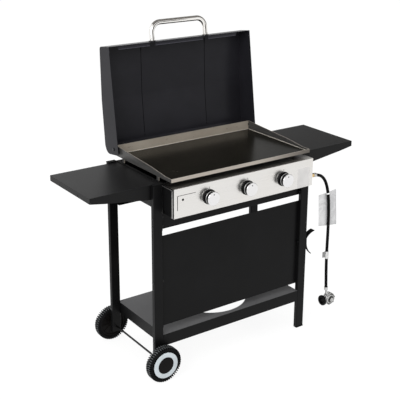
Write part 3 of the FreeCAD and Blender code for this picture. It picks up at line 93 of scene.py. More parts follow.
# Gas hose: the control points of part.py's route, as (x, z) in the plane of the fitting
HOSE_ROUTE = [Vector((x, Box("gas_hose").middle.y, z)) for x, z in (
    (0.378, 0.706), (0.396, 0.7024), (0.4156, 0.6912), (0.4322, 0.6712), (0.4444, 0.6436), (0.4534, 0.6064),
    (0.4594, 0.5588), (0.4624, 0.497), (0.4626, 0.422), (0.4616, 0.347), (0.4632, 0.262), (0.468, 0.178))]
FERRULE_LENGTH = 0.013
REGULATOR_RADIUS = 0.027
SCREW_COUNT = 6
NUT_RADIUS = 0.0228
NUT_LENGTH = 0.0125
NUT_RIBS = 22

# Tag: each corner's shift from the node's own left edge, and up from its top (True) or its bottom edge
TAG_CORNERS = ((-0.008, -0.0095, True), (0.091, -0.001, True), (0.0, 0.023, False), (0.104, 0.008, False))
TAG_ROWS = 24
TAG_COLUMNS = 14
TAG_THICK = 0.0006

# Control panel: two painted shadow lines at a nameplate's top and left edges, as (x, height over the panel's foot,
# width, height), a label and trims
PLATE_SHADOW_LINES = ((-0.319, 0.0585, 0.0026, 0.056), (-0.2785, 0.0865, 0.081, 0.0018))
LABEL_PLACE, LABEL_SIZE = (0.2865, 0.0425), (0.062, 0.08)
PLUG_PLACE = (-0.295, 0.069)
TICK_LIFT = 0.0355
TRIM_WIDTH = 0.0026
ON_SHEET = 0.00005

# Knobs, tyres and welds
FACE_DEPTH = 0.0034
DOT_RADIUS = 0.0024
FLUTE_DEPTH = 0.0007
TREAD_DEPTH = 0.0125
BEAD_RADIUS = 0.0022
BEAD_INSET = 0.0026


class PaintSettings(PropertyGroup):
    """Colours of the finishes."""
    frame_black: FloatVectorProperty(
        name="Frame black", description="Powder coat of legs, shelves and sheets", subtype="COLOR",
        default=(0.0042, 0.0042, 0.0044))
    lid_black: FloatVectorProperty(
        name="Lid black", description="Heat-proof paint of the lid", subtype="COLOR", default=(0.0125, 0.0123, 0.015))
    plate_dark: FloatVectorProperty(
        name="Plate", description="Oiled cooking surface", subtype="COLOR", default=(0.0052, 0.0047, 0.0034))
    guard_steel: FloatVectorProperty(
        name="Guards", description="Bare steel of the guards and the front lip", subtype="COLOR",
        default=(0.36, 0.325, 0.285))
    stainless: FloatVectorProperty(
        name="Stainless", description="Brushed steel of the control panel", subtype="COLOR",
        default=(0.765, 0.75, 0.727))
    ring_white: FloatVectorProperty(
        name="Wheel ring", description="Pale trim ring of each wheel", subtype="COLOR", default=(0.49, 0.535, 0.56))


class SizeSettings(PropertyGroup):
    """Sizes of the pieces that this file adds."""
    hose_radius: FloatProperty(
        name="Hose radius", description="Outer radius of the gas hose", unit="LENGTH", default=0.00645)
    handle_radius: FloatProperty(
        name="Handle radius", description="Radius of the lid handle's tube", unit="LENGTH", default=0.011)
    handle_bend: FloatProperty(
        name="Handle bend", description="Bend radius of the handle's centre line", unit="LENGTH", default=0.04)
    lug_count: IntProperty(name="Tyre lugs", description="Lugs in one row round a tyre", default=48, min=8)
    lug_height: FloatProperty(
        name="Lug height", description="How far a lug stands out of the tread", unit="LENGTH", default=0.00648)
    knob_radius: FloatProperty(
        name="Knob radius", description="Radius of a knob's face band", unit="LENGTH", default=0.027)
    knob_flutes: IntProperty(name="Knob flutes", description="Finger flutes round a knob's grip", default=30, min=6)
    bead_pitch: FloatProperty(
        name="Weld ripple", description="Distance between ripples of a weld bead", unit="LENGTH", default=0.0032)


class StudioSettings(PropertyGroup):
    """Camera and light."""
    camera_place: FloatVectorProperty(
        name="Camera", description="Where the camera stands", unit="LENGTH", default=(-2.011, -2.7995, 1.8963))
    camera_turn: FloatProperty(
        name="Azimuth", description="Direction of view, from +Y towards +X", subtype="ANGLE",
        default=radians(34.99))
    camera_pitch: FloatProperty(
        name="Pitch", description="How far the camera looks down", subtype="ANGLE", default=radians(17.92))
    camera_roll: FloatProperty(
        name="Roll", description="Roll about the direction of view", subtype="ANGLE", default=radians(0.25))
    lens: FloatProperty(name="Lens", description="Focal length in millimetres", default=81.07)
    shift_y: FloatProperty(name="Shift", description="Vertical shift of the frame", default=-0.1)
    world_strength: FloatProperty(name="Surround", description="Strength of the white surround", default=1.0)
    key_power: FloatProperty(name="Key light", description="Power of the front softbox in watts", default=110.0)
    top_power: FloatProperty(name="Top light", description="Power of the overhead softbox in watts", default=40.0)


class Socket:
    """A value in a node tree. Python arithmetic on it adds the Math nodes."""

    def __init__(self, owner, link):
        self.owner = owner
        self.link = link

    def math(self, operation, *others):
        return self.owner.add("ShaderNodeMath", {"operation": operation}, [self, *others])

    def __add__(self, other):
        return self.math("ADD", other)

    def __mul__(self, other):
        return self.math("MULTIPLY", other)

    def __sub__(self, other):
        return self.math("SUBTRACT", other)

    def __rsub__(self, other):
        return self.owner.add("ShaderNodeMath", {"operation": "SUBTRACT"}, [other, self])

    __radd__ = __add__
    __rmul__ = __mul__

    def above(self, limit):
        return self.math("GREATER_THAN", limit)

    def below(self, limit):
        return self.math("LESS_THAN", limit)

    def ramp(self, low, high):
        """0 below low, 1 above high, and smooth between them."""
        return self.owner.add("ShaderNodeMapRange", {"interpolation_type": "SMOOTHSTEP", "clamp": True}, {
            "Value": self, "From Min": low, "From Max": high})

    def mix(self, low, high):
        """Colour between two colours, as the value goes from 0 to 1."""
        return self.owner.add("ShaderNodeMix", {"data_type": "RGBA"}, {"Factor": self, 6: low, 7: high}, 2)


class NodeTree:
    """A node tree that grows by one call for every kind of node."""

    def add(self, kind, settings, values, output=0):
        """Add a node, set it up, feed its sockets and give back one output."""
        node = self.tree.nodes.new(kind)
        for key, value in settings.items():
            setattr(node, key, value)
        for key, value in values.items() if isinstance(values, dict) else enumerate(values):
            self.feed(node.inputs[key], value)
        return Socket(self, node.outputs[output])

    def feed(self, socket, value):
        """Link a value to a socket, or set the socket to a number, vector or colour."""
        if isinstance(value, Socket):
            self.tree.links.new(value.link, socket)
        else:
            socket.default_value = (*value, 1) if socket.type == "RGBA" else value


class Look(NodeTree):
    """A material and the few kinds of node that the finishes are made of."""

    def __init__(self, name):
        self.material = bpy.data.materials.new(name)
        self.material.use_nodes = True
        self.tree = self.material.node_tree
        self.shader = self.tree.nodes["Principled BSDF"]
        self.place = self.add("ShaderNodeTexCoord", {}, [], "Object")

    def set(self, **values):
        """Feed the shader: roughness=0.4 or base_color=paint. Shine is 0.5 for bare plastic."""
        for key, value in values.items():
            label = "Specular IOR Level" if key == "shine" else key.replace("_", " ").title()
            self.feed(self.shader.inputs[label], value)

    def noise(self, scale, detail=2, roughness=0.5, stretch=None, distortion=0):
        """Noise, stretched along each axis for grain that runs one way."""
        place = self.place
        if stretch:
            place = self.add("ShaderNodeVectorMath", {"operation": "MULTIPLY"}, [place, stretch])
        return self.add("ShaderNodeTexNoise", {}, {
            "Vector": place, "Scale": scale, "Detail": detail, "Roughness": roughness, "Distortion": distortion})

    def axis(self, name):
        """One object coordinate."""
        return self.add("ShaderNodeSeparateXYZ", {}, [self.place], name)

    def facing(self, name):
        """One part of the surface's own direction."""
        return self.add("ShaderNodeSeparateXYZ", {}, [self.add("ShaderNodeNewGeometry", {}, [], "Normal")], name)

    def reach(self, x, z):
        """Distance from a line that runs along Y."""
        across, up = self.axis("X") - x, self.axis("Z") - z
        return (across * across + up * up).math("SQRT")

    def bump(self, height, strength, distance):
        """Fine relief of the surface, its distance in metres."""
        values = {"Height": height, "Strength": strength, "Distance": distance}
        self.set(normal=self.add("ShaderNodeBump", {}, values))


def tone(colour, factor):
    """A colour made lighter or darker."""
    return tuple(channel * factor for channel in colour)


def coat(look, colour, low, high, roughness, grain, strength):
    """Clouded paint of a sprayed coat, whose orange peel is in its relief and its roughness."""
    peel = look.noise(grain, 3, 0.55)
    cloud = look.noise(5.5, 4, 0.6)
    shade = cloud.ramp(0.35, 0.7) * 0.6 + look.noise(2300, 1).ramp(0.55, 0.75) * 0.25
    look.set(roughness=cloud * 0.07 + peel * 0.05 + roughness)
    look.bump(peel, strength, 0.0004)
    return cloud, shade.mix(tone(colour, low), tone(colour, high))


def powder_coat(look, colour, roughness, shine, dust_and_top_light=0):
    """Satin powder coat: fine orange peel, faint cloudy wear, and paler flat tops, partly grit settled on them and
    partly a painted highlight from the light above.
    """
    cloud, paint = coat(look, colour, 0.86, 1.3, roughness - 0.06, 620, 0.1)
    if dust_and_top_light:
        # Flat tops painted paler: partly settled grit, partly painted light where light from above falls on them.
        level = look.facing("Z").above(0.9) * (cloud * 0.5 + 0.75)
        paint = level.mix(paint, (dust_and_top_light, dust_and_top_light, dust_and_top_light * 1.03))
    look.set(base_color=paint, shine=shine)


def lid_satin(look, colour):
    """Heat-proof satin paint: fine orange peel, soft clouds, and a painted highlight along the inner flange of the
    rim, brighter still at its lower edge.
    """
    cloud, paint = coat(look, colour, 0.9, 1.35, 0.24, 480, 0.08)
    # Painted highlight: the rim's inner flange that faces the cook is painted lighter, and its lower edge lighter
    # still.
    ledge = look.axis("Y").below(LEDGE_FACE) * look.axis("Z").above(LEDGE_LOW) * look.facing("Y").below(-0.5)
    edge = ledge * look.axis("Z").below(LEDGE_LOW + 0.0034)
    look.set(base_color=edge.mix(ledge.mix(paint, tone(colour, 2.4)), tone(colour, 6)), shine=0.115)


def brushed_metal(look, colour, roughness, along="x", grain=1, painted_back_shade=False):
    """Brushed stainless: long fine scratches one way, with faint bands and a warm cast in places."""
    scale = {"x": (4, 900, 900), "y": (900, 4, 900), "z": (900, 900, 4)}[along]
    lines = look.noise(1, 4, 0.7, scale)
    bands = look.noise(1, 2, 0.5, tone(scale, 0.06))
    cloud = look.noise(6)
    warm = (cloud.ramp(0.45, 0.75) * 0.5).mix(colour, (colour[0], colour[1] * 0.975, colour[2] * 0.94))
    shade = (lines.ramp(0.3, 0.7) * 0.22 * grain).mix(warm, tone(colour, 0.7))
    if painted_back_shade:
        # Painted shade: the panel's top darkens towards the back, under the griddle that shades it and is mirrored in
        # it.
        back = look.axis("Y").ramp(PANEL.low.y + 0.004, PANEL.low.y + 0.05) * look.facing("Z").above(0.9)
        shade = back.mix(shade, tone(colour, 0.1))
    look.set(base_color=shade, metallic=1, roughness=lines * 0.1 * grain + bands * 0.08 + (roughness - 0.08))
    look.bump(lines, 0.1 * grain, 0.00015)


def rolled_steel(look, oiled, guard):
    """Thick rolled steel: an oiled dark cooking surface, bare guards that heat has tinted, with painted shade on
    their side faces, and a lip with grinding marks and a painted reflection that darkens it towards the right.
    """
    plate = look.facing("Z").above(0.9) * look.axis("Z").below(COOK_TOP + 0.0006)
    inner = look.facing("Y").below(-0.9) * look.axis("Y").above(PLATE.middle.y)
    sides = look.facing("X").math("ABSOLUTE").above(0.9)
    lip = look.facing("Y").below(-0.9) * look.axis("Y").below(PLATE.middle.y)
    grind = look.noise(1, 4, 0.65, (9, 9, 700))
    scale = look.noise(46, 5, 0.6)
    cloud = look.noise(7, 4, 0.55)
    brown = cloud.ramp(0.3, 0.7).mix((0.39, 0.34, 0.278), (0.47, 0.42, 0.35))
    steel = inner.mix(guard, brown)
    # Painted shade: the guards' side faces are made far darker than the rest of the same steel.
    steel = sides.mix(steel, grind.ramp(0.3, 0.75).mix((0.045, 0.044, 0.043), (0.105, 0.103, 0.099)))
    ground_and_reflection = grind.ramp(0.25, 0.7).mix(tone(guard, 0.95), tone(guard, 1.2))
    # Painted reflection: the lip darkens towards the right, as if it mirrored a darker surround there.
    ground_and_reflection = look.axis("X").ramp(0.02, 0.36).mix(ground_and_reflection, tone(guard, 0.3))
    steel = lip.mix(steel, ground_and_reflection)
    dark = cloud.ramp(0.3, 0.75).mix(oiled, tone(oiled, 1.45))
    look.set(base_color=plate.mix(steel, dark), metallic=(1 - plate) * 0.45, shine=0.12,
             roughness=plate * -0.04 + scale * 0.08 + grind * 0.06 + 0.22)
    look.bump(grind * 0.6 + scale * 0.5, 0.12, 0.0003)


def moulded(look, colour, roughness, shine=0.3, grain=900, strength=0.12):
    """Moulded plastic or rubber with a fine spark-eroded grain."""
    grit = look.noise(grain, 2, 0.6)
    cloud = look.noise(9, 3)
    look.set(base_color=cloud.ramp(0.3, 0.75).mix(tone(colour, 0.88), tone(colour, 1.16)),
             roughness=grit * 0.12 + (roughness - 0.06), shine=shine)
    look.bump(grit, strength, 0.0003)


def tread_rubber(look):
    """Grey-black rubber: black in the grooves, grey on top of the lugs, partly from wear and grit and partly a
    painted highlight.
    """
    grit = look.noise(1400, 2, 0.6)
    dust_and_top_light = look.noise(42, 5, 0.65)
    # Lug tops painted grey: partly wear and grit, partly a painted highlight where the tops catch the light.
    wear_and_highlight = look.reach(TYRE.middle.x, TYRE.middle.z).ramp(TYRE_RADIUS - 0.0022, TYRE_RADIUS - 0.0006)
    black = dust_and_top_light.ramp(0.4, 0.8).mix((0.003, 0.0031, 0.0033), (0.0075, 0.0078, 0.008))
    grey = dust_and_top_light.ramp(0.35, 0.75).mix((0.05, 0.053, 0.055), (0.105, 0.11, 0.114))
    look.set(base_color=wear_and_highlight.mix(black, grey), roughness=grit * 0.15 + 0.55, shine=0.08)
    look.bump(grit, 0.2, 0.0003)


def plain_metal(look, colour, roughness):
    """Turned or plated metal with a light machining texture."""
    wear = look.noise(160, 4, 0.6)
    look.set(base_color=wear.ramp(0.35, 0.75).mix(tone(colour, 0.85), tone(colour, 1.08)),
             metallic=1, roughness=wear * 0.12 + (roughness - 0.05))
    look.bump(look.noise(2600, 1), 0.06, 0.0002)


def cast_alloy(look):
    """Die-cast alloy, bead-blasted, with painted shade in its grooves, round the vent cap, on the front of its rim's
    side and towards the nut.
    """
    wear = look.noise(160, 4, 0.6)
    reach = look.reach(REGULATOR.high.x - REGULATOR_RADIUS, NUT.middle.z)
    # Painted shade: dark rings in the grooves and round the vent cap.
    groove_shade = reach.above(0.0096) * reach.below(0.0152) + reach.above(0.0206) * reach.below(0.0232)
    side = look.facing("Y").math("ABSOLUTE").below(0.35) * look.axis("Y").below(REGULATOR.middle.y)
    cast = wear.ramp(0.35, 0.75).mix((0.42, 0.42, 0.415), (0.58, 0.58, 0.57))
    cast = (groove_shade * look.facing("Y").below(-0.35)).mix(cast, (0.055, 0.054, 0.052))
    # Painted shade on the side of the rim towards the front.
    cast = (side * 0.75).mix(cast, (0.1, 0.1, 0.1))
    # Painted shade: the inlet stem inside the nut's mouth is near black.
    cast = look.axis("X").below(NUT.high.x + 0.001).mix(cast, (0.012, 0.012, 0.012))
    look.set(base_color=cast, metallic=1, roughness=wear * 0.12 + 0.27)
    look.bump(wear, 0.1, 0.0003)


def clear_plastic(look):
    """Thin clear plastic, partly see-through and cloudy, with a darker folded tab at its left."""
    cloud = look.noise(120)
    tab = look.axis("X").below(Box("hose_clip").low.x + 0.0142)
    shade = tab.mix(cloud.mix((0.55, 0.55, 0.55), (0.74, 0.74, 0.73)), (0.22, 0.22, 0.22))
    look.set(base_color=shade, alpha=cloud * 0.2 + 0.7, roughness=cloud * 0.1 + 0.18)
    look.bump(cloud, 0.1, 0.0004)


def tag_vinyl(look):
    """Bare vinyl tag: pale grey, faintly creased, with a woven core."""
    crease = look.noise(26, 3, 0.6, distortion=1.5)
    weave = look.add("ShaderNodeTexVoronoi", {"feature": "DISTANCE_TO_EDGE"}, {
        "Vector": look.place, "Scale": 900})
    look.set(base_color=crease.ramp(0.35, 0.7).mix((0.5, 0.5, 0.505), (0.64, 0.64, 0.645)),
             roughness=crease * 0.1 + 0.4)
    look.bump(crease + weave * 0.2, 0.2, 0.0008)


def studio_floor(look):
    """Pale seamless floor that glows a little, as an evenly lit sweep does."""
    look.set(base_color=look.noise(0.7).mix((0.115, 0.115, 0.115), (0.125, 0.125, 0.125)), roughness=0.9,
             emission_color=(1, 1, 1), emission_strength=0.9, shine=0)


class Surround(Look):
    """White studio all round, with a darker end at the right for metal to mirror."""

    def __init__(self, strength):
        self.world = bpy.data.worlds.new("surround")
        self.world.use_nodes = True
        self.tree = self.world.node_tree
        self.shader = self.tree.nodes["Background"]
        self.place = self.add("ShaderNodeTexCoord", {}, [], "Generated")
        towards = self.axis("X") * 0.985 + self.axis("Y") * 0.174
        share = towards.ramp(0.6, 0.8) * self.axis("Z").ramp(0, 0.12)
        self.set(color=share.mix((1, 1, 1), (0.16, 0.155, 0.15)), strength=strength)


def recipes(paint):
    """The finishes that each function makes, and its values for each."""
    black = tuple(paint.frame_black)
    return {
        powder_coat: {
            "frame_black": (black, 0.34, 0.09), "shelf_black": (black, 0.4, 0.145),
            "low_shelf_black": (black, 0.36, 0.09, 0.085), "firebox_black": (tone(black, 0.7), 0.5, 0.1),
            "hook_black": ((0.0016, 0.0016, 0.0017), 0.45, 0.04)},
        lid_satin: {"lid_satin": (tuple(paint.lid_black),)},
        rolled_steel: {"rolled_steel": (tuple(paint.plate_dark), tuple(paint.guard_steel))},
        brushed_metal: {
            "panel_steel": (tuple(paint.stainless), 0.25, "x", 1, True),
            "handle_steel": ((0.9, 0.885, 0.86), 0.12, "x", 0.4), "burner_steel": ((0.45, 0.42, 0.38), 0.4, "y"),
            "knob_face": ((0.8, 0.795, 0.8), 0.16, "x", 0.5), "fold_steel": ((0.62, 0.61, 0.595), 0.34, "z")},
        moulded: {
            "knob_black": ((0.003, 0.003, 0.0032), 0.42, 0.07), "mark_black": ((0.0015, 0.0015, 0.0016), 0.6, 0.05),
            "hub_plastic": ((0.0046, 0.0041, 0.0038), 0.5, 0.07, 500, 0.3),
            "ring_plastic": (tuple(paint.ring_white), 0.4, 0.3, 700, 0.05),
            "hose_rubber": ((0.0018, 0.0018, 0.002), 0.45, 0.06, 1500, 0.2),
            "mark_grey": ((0.055, 0.052, 0.05), 0.55, 0.1), "label_film": ((0.56, 0.55, 0.54), 0.45, 0.3, 600, 0.04),
            "white_ceramic": ((0.8, 0.78, 0.72), 0.25, 0.3, 300, 0.05), "band_white": ((0.82, 0.82, 0.82), 0.4),
            "card_dark": ((0.03, 0.026, 0.022), 0.9, 0), "card_grey": ((0.2, 0.19, 0.18), 0.9, 0)},
        plain_metal: {
            "turned_brass": ((0.8, 0.57, 0.26), 0.26), "alloy": ((0.46, 0.46, 0.455), 0.3),
            "plated": ((0.6, 0.6, 0.595), 0.28), "weld_steel": ((0.62, 0.58, 0.52), 0.3),
            "black_screw": ((0.045, 0.045, 0.046), 0.3)},
        tread_rubber: {"tread_rubber": ()}, clear_plastic: {"clear_plastic": ()}, cast_alloy: {"cast_regulator": ()},
        tag_vinyl: {"tag_vinyl": ()}, studio_floor: {"studio_floor": ()},
    }


# Finish of each of the record's slots, and of the nodes that differ from their slot
SLOT_FINISH = {
    "black_steel": "frame_black", "lid_enamel": "lid_satin", "black_plastic": "knob_black",
    "griddle_steel": "rolled_steel", "stainless": "panel_steel", "chrome_knob": "knob_face", "brass": "turned_brass",
    "cast_alloy": "alloy", "plated_steel": "plated", "ceramic": "white_ceramic", "tyre": "tread_rubber",
    "pale_ring": "ring_plastic", "rubber": "hose_rubber", "tag_card": "tag_vinyl", "clear_clip": "clear_plastic",
}
NODE_FINISH = {
    node: finish for finish, nodes in {
        "hook_black": ("hose_hook",), "shelf_black": ("side_shelf_left", "side_shelf_right"),
        "low_shelf_black": ("bottom_shelf",), "hub_plastic": ("hub_front", "hub_rear"),
        "burner_steel": ("burner_left", "burner_centre", "burner_right"), "handle_steel": ("lid_handle",),
        "firebox_black": ("firebox_tray", "firebox_left_wall", "firebox_right_wall"), "knob_black": ("knob_bezels",),
        "black_screw": ("frame_bolts", "wheel_axle", "gas_manifold", "hinge_pins", "hinge_bushes", "panel_screws"),
    }.items() for node in nodes
}

# Filled by the first step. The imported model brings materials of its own, some with the same names.
FINISHES = {}


def placed(name, data):
    """New object at the origin, in the scene."""
    piece = bpy.data.objects.new(name, data)
    bpy.context.scene.collection.objects.link(piece)
    return piece


def finished(name, builder, finish, limit=32):
    """Object from a mesh builder, smooth but for edges that are sharper than the limit in degrees."""
    bmesh.ops.remove_doubles(builder, verts=builder.verts, dist=1e-6)
    bmesh.ops.recalc_face_normals(builder, faces=builder.faces)
    for face in builder.faces:
        face.smooth = True
    for edge in builder.edges:
        edge.smooth = len(edge.link_faces) != 2 or edge.calc_face_angle(0) < radians(limit)
    mesh = bpy.data.meshes.new(name)
    builder.to_mesh(mesh)
    builder.free()
    mesh.materials.append(FINISHES[finish])
    return placed(name, mesh)


def kept(piece, body, slot, *nodes):
    """Tell the frame what a piece rides on and hide the nodes that it replaces; the finish slot is not used."""
    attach(piece, body)
    if nodes:
        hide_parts(*nodes)


def facing(direction, centre, axis="Z"):
    """Matrix that turns a local axis to a direction and moves to a centre."""
    return Matrix.Translation(centre) @ direction.to_track_quat(axis, "Y").to_matrix().to_4x4()


def softened(points, radius, steps=4):
    """Open outline with its inner corners rounded."""
    soft = [points[0]]
    for before, corner, after in zip(points, points[1:], points[2:]):
        corner, before, after = Vector(corner), Vector(before), Vector(after)
        cut = min(radius, (corner - before).length * 0.45, (after - corner).length * 0.45)
        start = corner + (before - corner).normalized() * cut
        end = corner + (after - corner).normalized() * cut
        for step in range(steps + 1):
            share = step / steps
            soft.append(tuple(start.lerp(corner, share).lerp(corner.lerp(end, share), share)))
    return soft + [points[-1]]


def loft(builder, rings, capped=True):
    """Skin over rings of points, a ring of one being a pole, with flat ends if capped."""
    rings = [[builder.verts.new(point) for point in ring] for ring in rings]
    for low, high in zip(rings, rings[1:]):
        count = max(len(low), len(high))
        for step in range(count if count > 1 else 0):
            after = (step + 1) % count
            corners = (low[step % len(low)], low[after % len(low)], high[after % len(high)], high[step % len(high)])
            builder.faces.new(list(dict.fromkeys(corners)))
    if capped:
        builder.faces.new(rings[0])
        builder.faces.new(rings[-1])
    return builder


def around(count):
    """Angles of equal steps round a full turn."""
    return [tau * step / count for step in range(count)]


def lathe(builder, profile, matrix, segments, flute=None):
    """Turned skin: profile is (radius, along) from axis to axis, flute changes a radius with its angle."""
    rings = []
    for radius, along in profile:
        if radius < 1e-7:
            rings.append([matrix @ Vector((0, 0, along))])
            continue
        ring = []
        for angle in around(segments):
            here = radius + (flute(radius, along, angle) if flute else 0)
            ring.append(matrix @ Vector((here * cos(angle), here * sin(angle), along)))
        rings.append(ring)
    return loft(builder, rings, capped=False)


def turned(profile, matrix, segments, flute=None):
    """A new builder with one turned skin."""
    return lathe(bmesh.new(), profile, matrix, segments, flute)


def sweep(path, radius, segments):
    """Round tube along a list of points, without twist."""
    rings = []
    ways = [(after - before).normalized() for before, after in zip(path, path[1:])]
    ways = [ways[0]] + [(a + b).normalized() for a, b in zip(ways, ways[1:])] + [ways[-1]]
    side = ways[0].orthogonal().normalized()
    for point, way in zip(path, ways):
        side = (side - way * side.dot(way)).normalized()
        up = way.cross(side)
        rings.append([point + (side * cos(angle) + up * sin(angle)) * radius for angle in around(segments)])
    return loft(bmesh.new(), rings)


def bent_path(corners, bend, steps=14):
    """Points along straight runs with round bends of one radius."""
    path = [corners[0]]
    for before, corner, after in zip(corners, corners[1:], corners[2:]):
        way_in = (corner - before).normalized()
        way_out = (after - corner).normalized()
        cut = bend * tan(way_in.angle(way_out) / 2)
        centre = corner - way_in * cut + (way_out - way_in * way_in.dot(way_out)).normalized() * bend
        start = corner - way_in * cut - centre
        end = corner + way_out * cut - centre
        path += [centre + start.slerp(end, step / steps) * bend for step in range(steps + 1)]
    return path + [corners[-1]]


def rounded_slab(builder, width, height, thick, corner, matrix, steps=6):
    """Thin plate with round corners, centred on the matrix, thick along its Z."""
    outline = []
    for sign_x, sign_y, start in ((1, 1, 0), (-1, 1, 90), (-1, -1, 180), (1, -1, 270)):
        for step in range(steps + 1):
            angle = radians(start + 90 * step / steps)
            outline.append((sign_x * (width / 2 - corner) + corner * cos(angle),
                            sign_y * (height / 2 - corner) + corner * sin(angle)))
    return loft(builder, [[matrix @ Vector((x, y, z)) for x, y in outline] for z in (-thick / 2, thick / 2)])


class ShapeTree(NodeTree):
    """A Geometry Nodes tree with named inputs, ended by Realize Instances and Set Material."""

    def __init__(self, name, **kinds):
        self.tree = bpy.data.node_groups.new(name, "GeometryNodeTree")
        kinds = {"Geometry": "Geometry", **kinds, "Finish": "Material"}
        for label, kind in kinds.items():
            self.tree.interface.new_socket(label, in_out="INPUT", socket_type=f"NodeSocket{kind}")
        self.tree.interface.new_socket("Geometry", in_out="OUTPUT", socket_type="NodeSocketGeometry")
        outputs = self.tree.nodes.new("NodeGroupInput").outputs
        self.inputs = {label: Socket(self, outputs[label]) for label in kinds}

    def end(self, instances):
        """Realize, set the finish, join what came in, and leave the tree."""
        real = self.add("GeometryNodeRealizeInstances", {}, [instances])
        coloured = self.add("GeometryNodeSetMaterial", {}, {"Geometry": real, "Material": self.inputs["Finish"]})
        joined = self.tree.nodes.new("GeometryNodeJoinGeometry")
        for geometry in (self.inputs["Geometry"], coloured):
            self.feed(joined.inputs[0], geometry)
        self.tree.links.new(joined.outputs[0], self.tree.nodes.new("NodeGroupOutput").inputs[0])
        return self.tree


def ring_tree():
    """Copies of one lug set round a wheel's axle."""
    made = ShapeTree("ring_of_lugs", Lug="Object", Count="Int", Start="Float", Centre="Vector")
    given = made.inputs
    points = made.add("GeometryNodePoints", {}, {"Count": given["Count"]})
    lug = made.add("GeometryNodeObjectInfo", {}, {"Object": given["Lug"]}, "Geometry")
    share = made.add("GeometryNodeInputIndex", {}, []).math("DIVIDE", given["Count"])
    turn = made.add("ShaderNodeCombineXYZ", {}, {"Z": share * tau + given["Start"]})
    row = made.add("GeometryNodeInstanceOnPoints", {}, {"Points": points, "Instance": lug, "Rotation": turn})
    return made.end(made.add("GeometryNodeTransform", {}, {
        "Geometry": row, "Translation": given["Centre"], "Rotation": (pi / 2, 0, 0)}))


def bead_tree():
    """Overlapping ripples of a weld bead along a straight line."""
    made = ShapeTree("weld_bead", Count="Int", Start="Vector", Step="Vector", Radius="Float", Squash="Vector",
                     Seed="Int")
    given = made.inputs
    line = made.add("GeometryNodeMeshLine", {"mode": "OFFSET"}, {
        "Count": given["Count"], "Start Location": given["Start"], "Offset": given["Step"]})
    blob = made.add("GeometryNodeMeshIcoSphere", {}, {"Radius": given["Radius"], "Subdivisions": 2})
    size = made.add("FunctionNodeRandomValue", {"data_type": "FLOAT"}, {
        "Min": 0.85, "Max": 1.15, "Seed": given["Seed"]}, 1)
    scale = made.add("ShaderNodeVectorMath", {"operation": "SCALE"}, {0: given["Squash"], "Scale": size})
    row = made.add("GeometryNodeInstanceOnPoints", {}, {"Points": line, "Instance": blob, "Scale": scale})
    return made.end(made.add("GeometryNodeSetShadeSmooth", {}, {"Geometry": row}))


def run_tree(piece, tree, finish, **values):
    """Put a tree on a piece as a modifier, with its inputs set by socket identifier."""
    modifier = piece.modifiers.new(tree.name, "NODES")
    modifier.node_group = tree
    values["Finish"] = FINISHES[finish]
    for item in tree.interface.items_tree:
        if item.in_out == "INPUT" and item.name in values:
            modifier[item.identifier] = values[item.name]


def baked(piece):
    """Replace a piece's mesh by its evaluated mesh and drop its modifiers."""
    bpy.context.view_layer.update()
    graph = bpy.context.evaluated_depsgraph_get()
    mesh = bpy.data.meshes.new_from_object(piece.evaluated_get(graph), depsgraph=graph)
    piece.modifiers.clear()
    piece.data = mesh
    return piece


def hose_curve(name):
    """The hose's smooth line, with the route's points as its control points."""
    curve = bpy.data.curves.new(name, "CURVE")
    curve.dimensions = "3D"
    curve.resolution_u = 16
    spline = curve.splines.new("NURBS")
    spline.points.add(len(HOSE_ROUTE) - 1)
    for place, point in zip(spline.points, HOSE_ROUTE):
        place.co = (*point, 1)
    spline.order_u = 3
    spline.use_endpoint_u = True
    return curve


def hose_line():
    """Points that the hose's own smooth curve passes through."""
    line = bpy.data.objects.new("hose_line", hose_curve("hose_line"))
    mesh = bpy.data.meshes.new_from_object(line)
    points = [vertex.co.copy() for vertex in mesh.vertices]
    bpy.data.objects.remove(line)
    bpy.data.meshes.remove(mesh)
    return points


class GRIDDLE_OT_finishes(Operator):
    """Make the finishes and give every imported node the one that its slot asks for"""
    bl_idname = "griddle.finishes"
    bl_label = "Finishes"

    def execute(self, context):
        for recipe, rows in recipes(context.scene.griddle_paint).items():
            for name, values in rows.items():
                look = Look(name)
                recipe(look, *values)
                FINISHES[name] = look.material
        slots = {row["node"]: row["material_slot"] for row in frame["record"]["subparts"]}
        for node, piece in frame["nodes"].items():
            piece.data.materials.clear()
            piece.data.materials.append(FINISHES[NODE_FINISH.get(node, SLOT_FINISH[slots[node]])])
        return {"FINISHED"}


def softbox(name, place, target, size, power):
    """Square lamp that looks at a target."""
    light = bpy.data.lights.new(name, "AREA")
    light.shape = "SQUARE"
    light.size = size
    light.energy = power
    placed(name, light).matrix_world = facing(Vector(target) - Vector(place), place, "-Z")


def mirror_card(name, place, way, width, height, finish):
    """Card seen only in what mirrors it: it draws the dark lines on polished tubes."""
    slab = rounded_slab(bmesh.new(), width, height, 0.01, 0.05, facing(way, Vector(place)))
    card = finished(name, slab, finish)
    for ray in ("camera", "diffuse", "shadow", "transmission"):
        setattr(card, f"visible_{ray}", False)


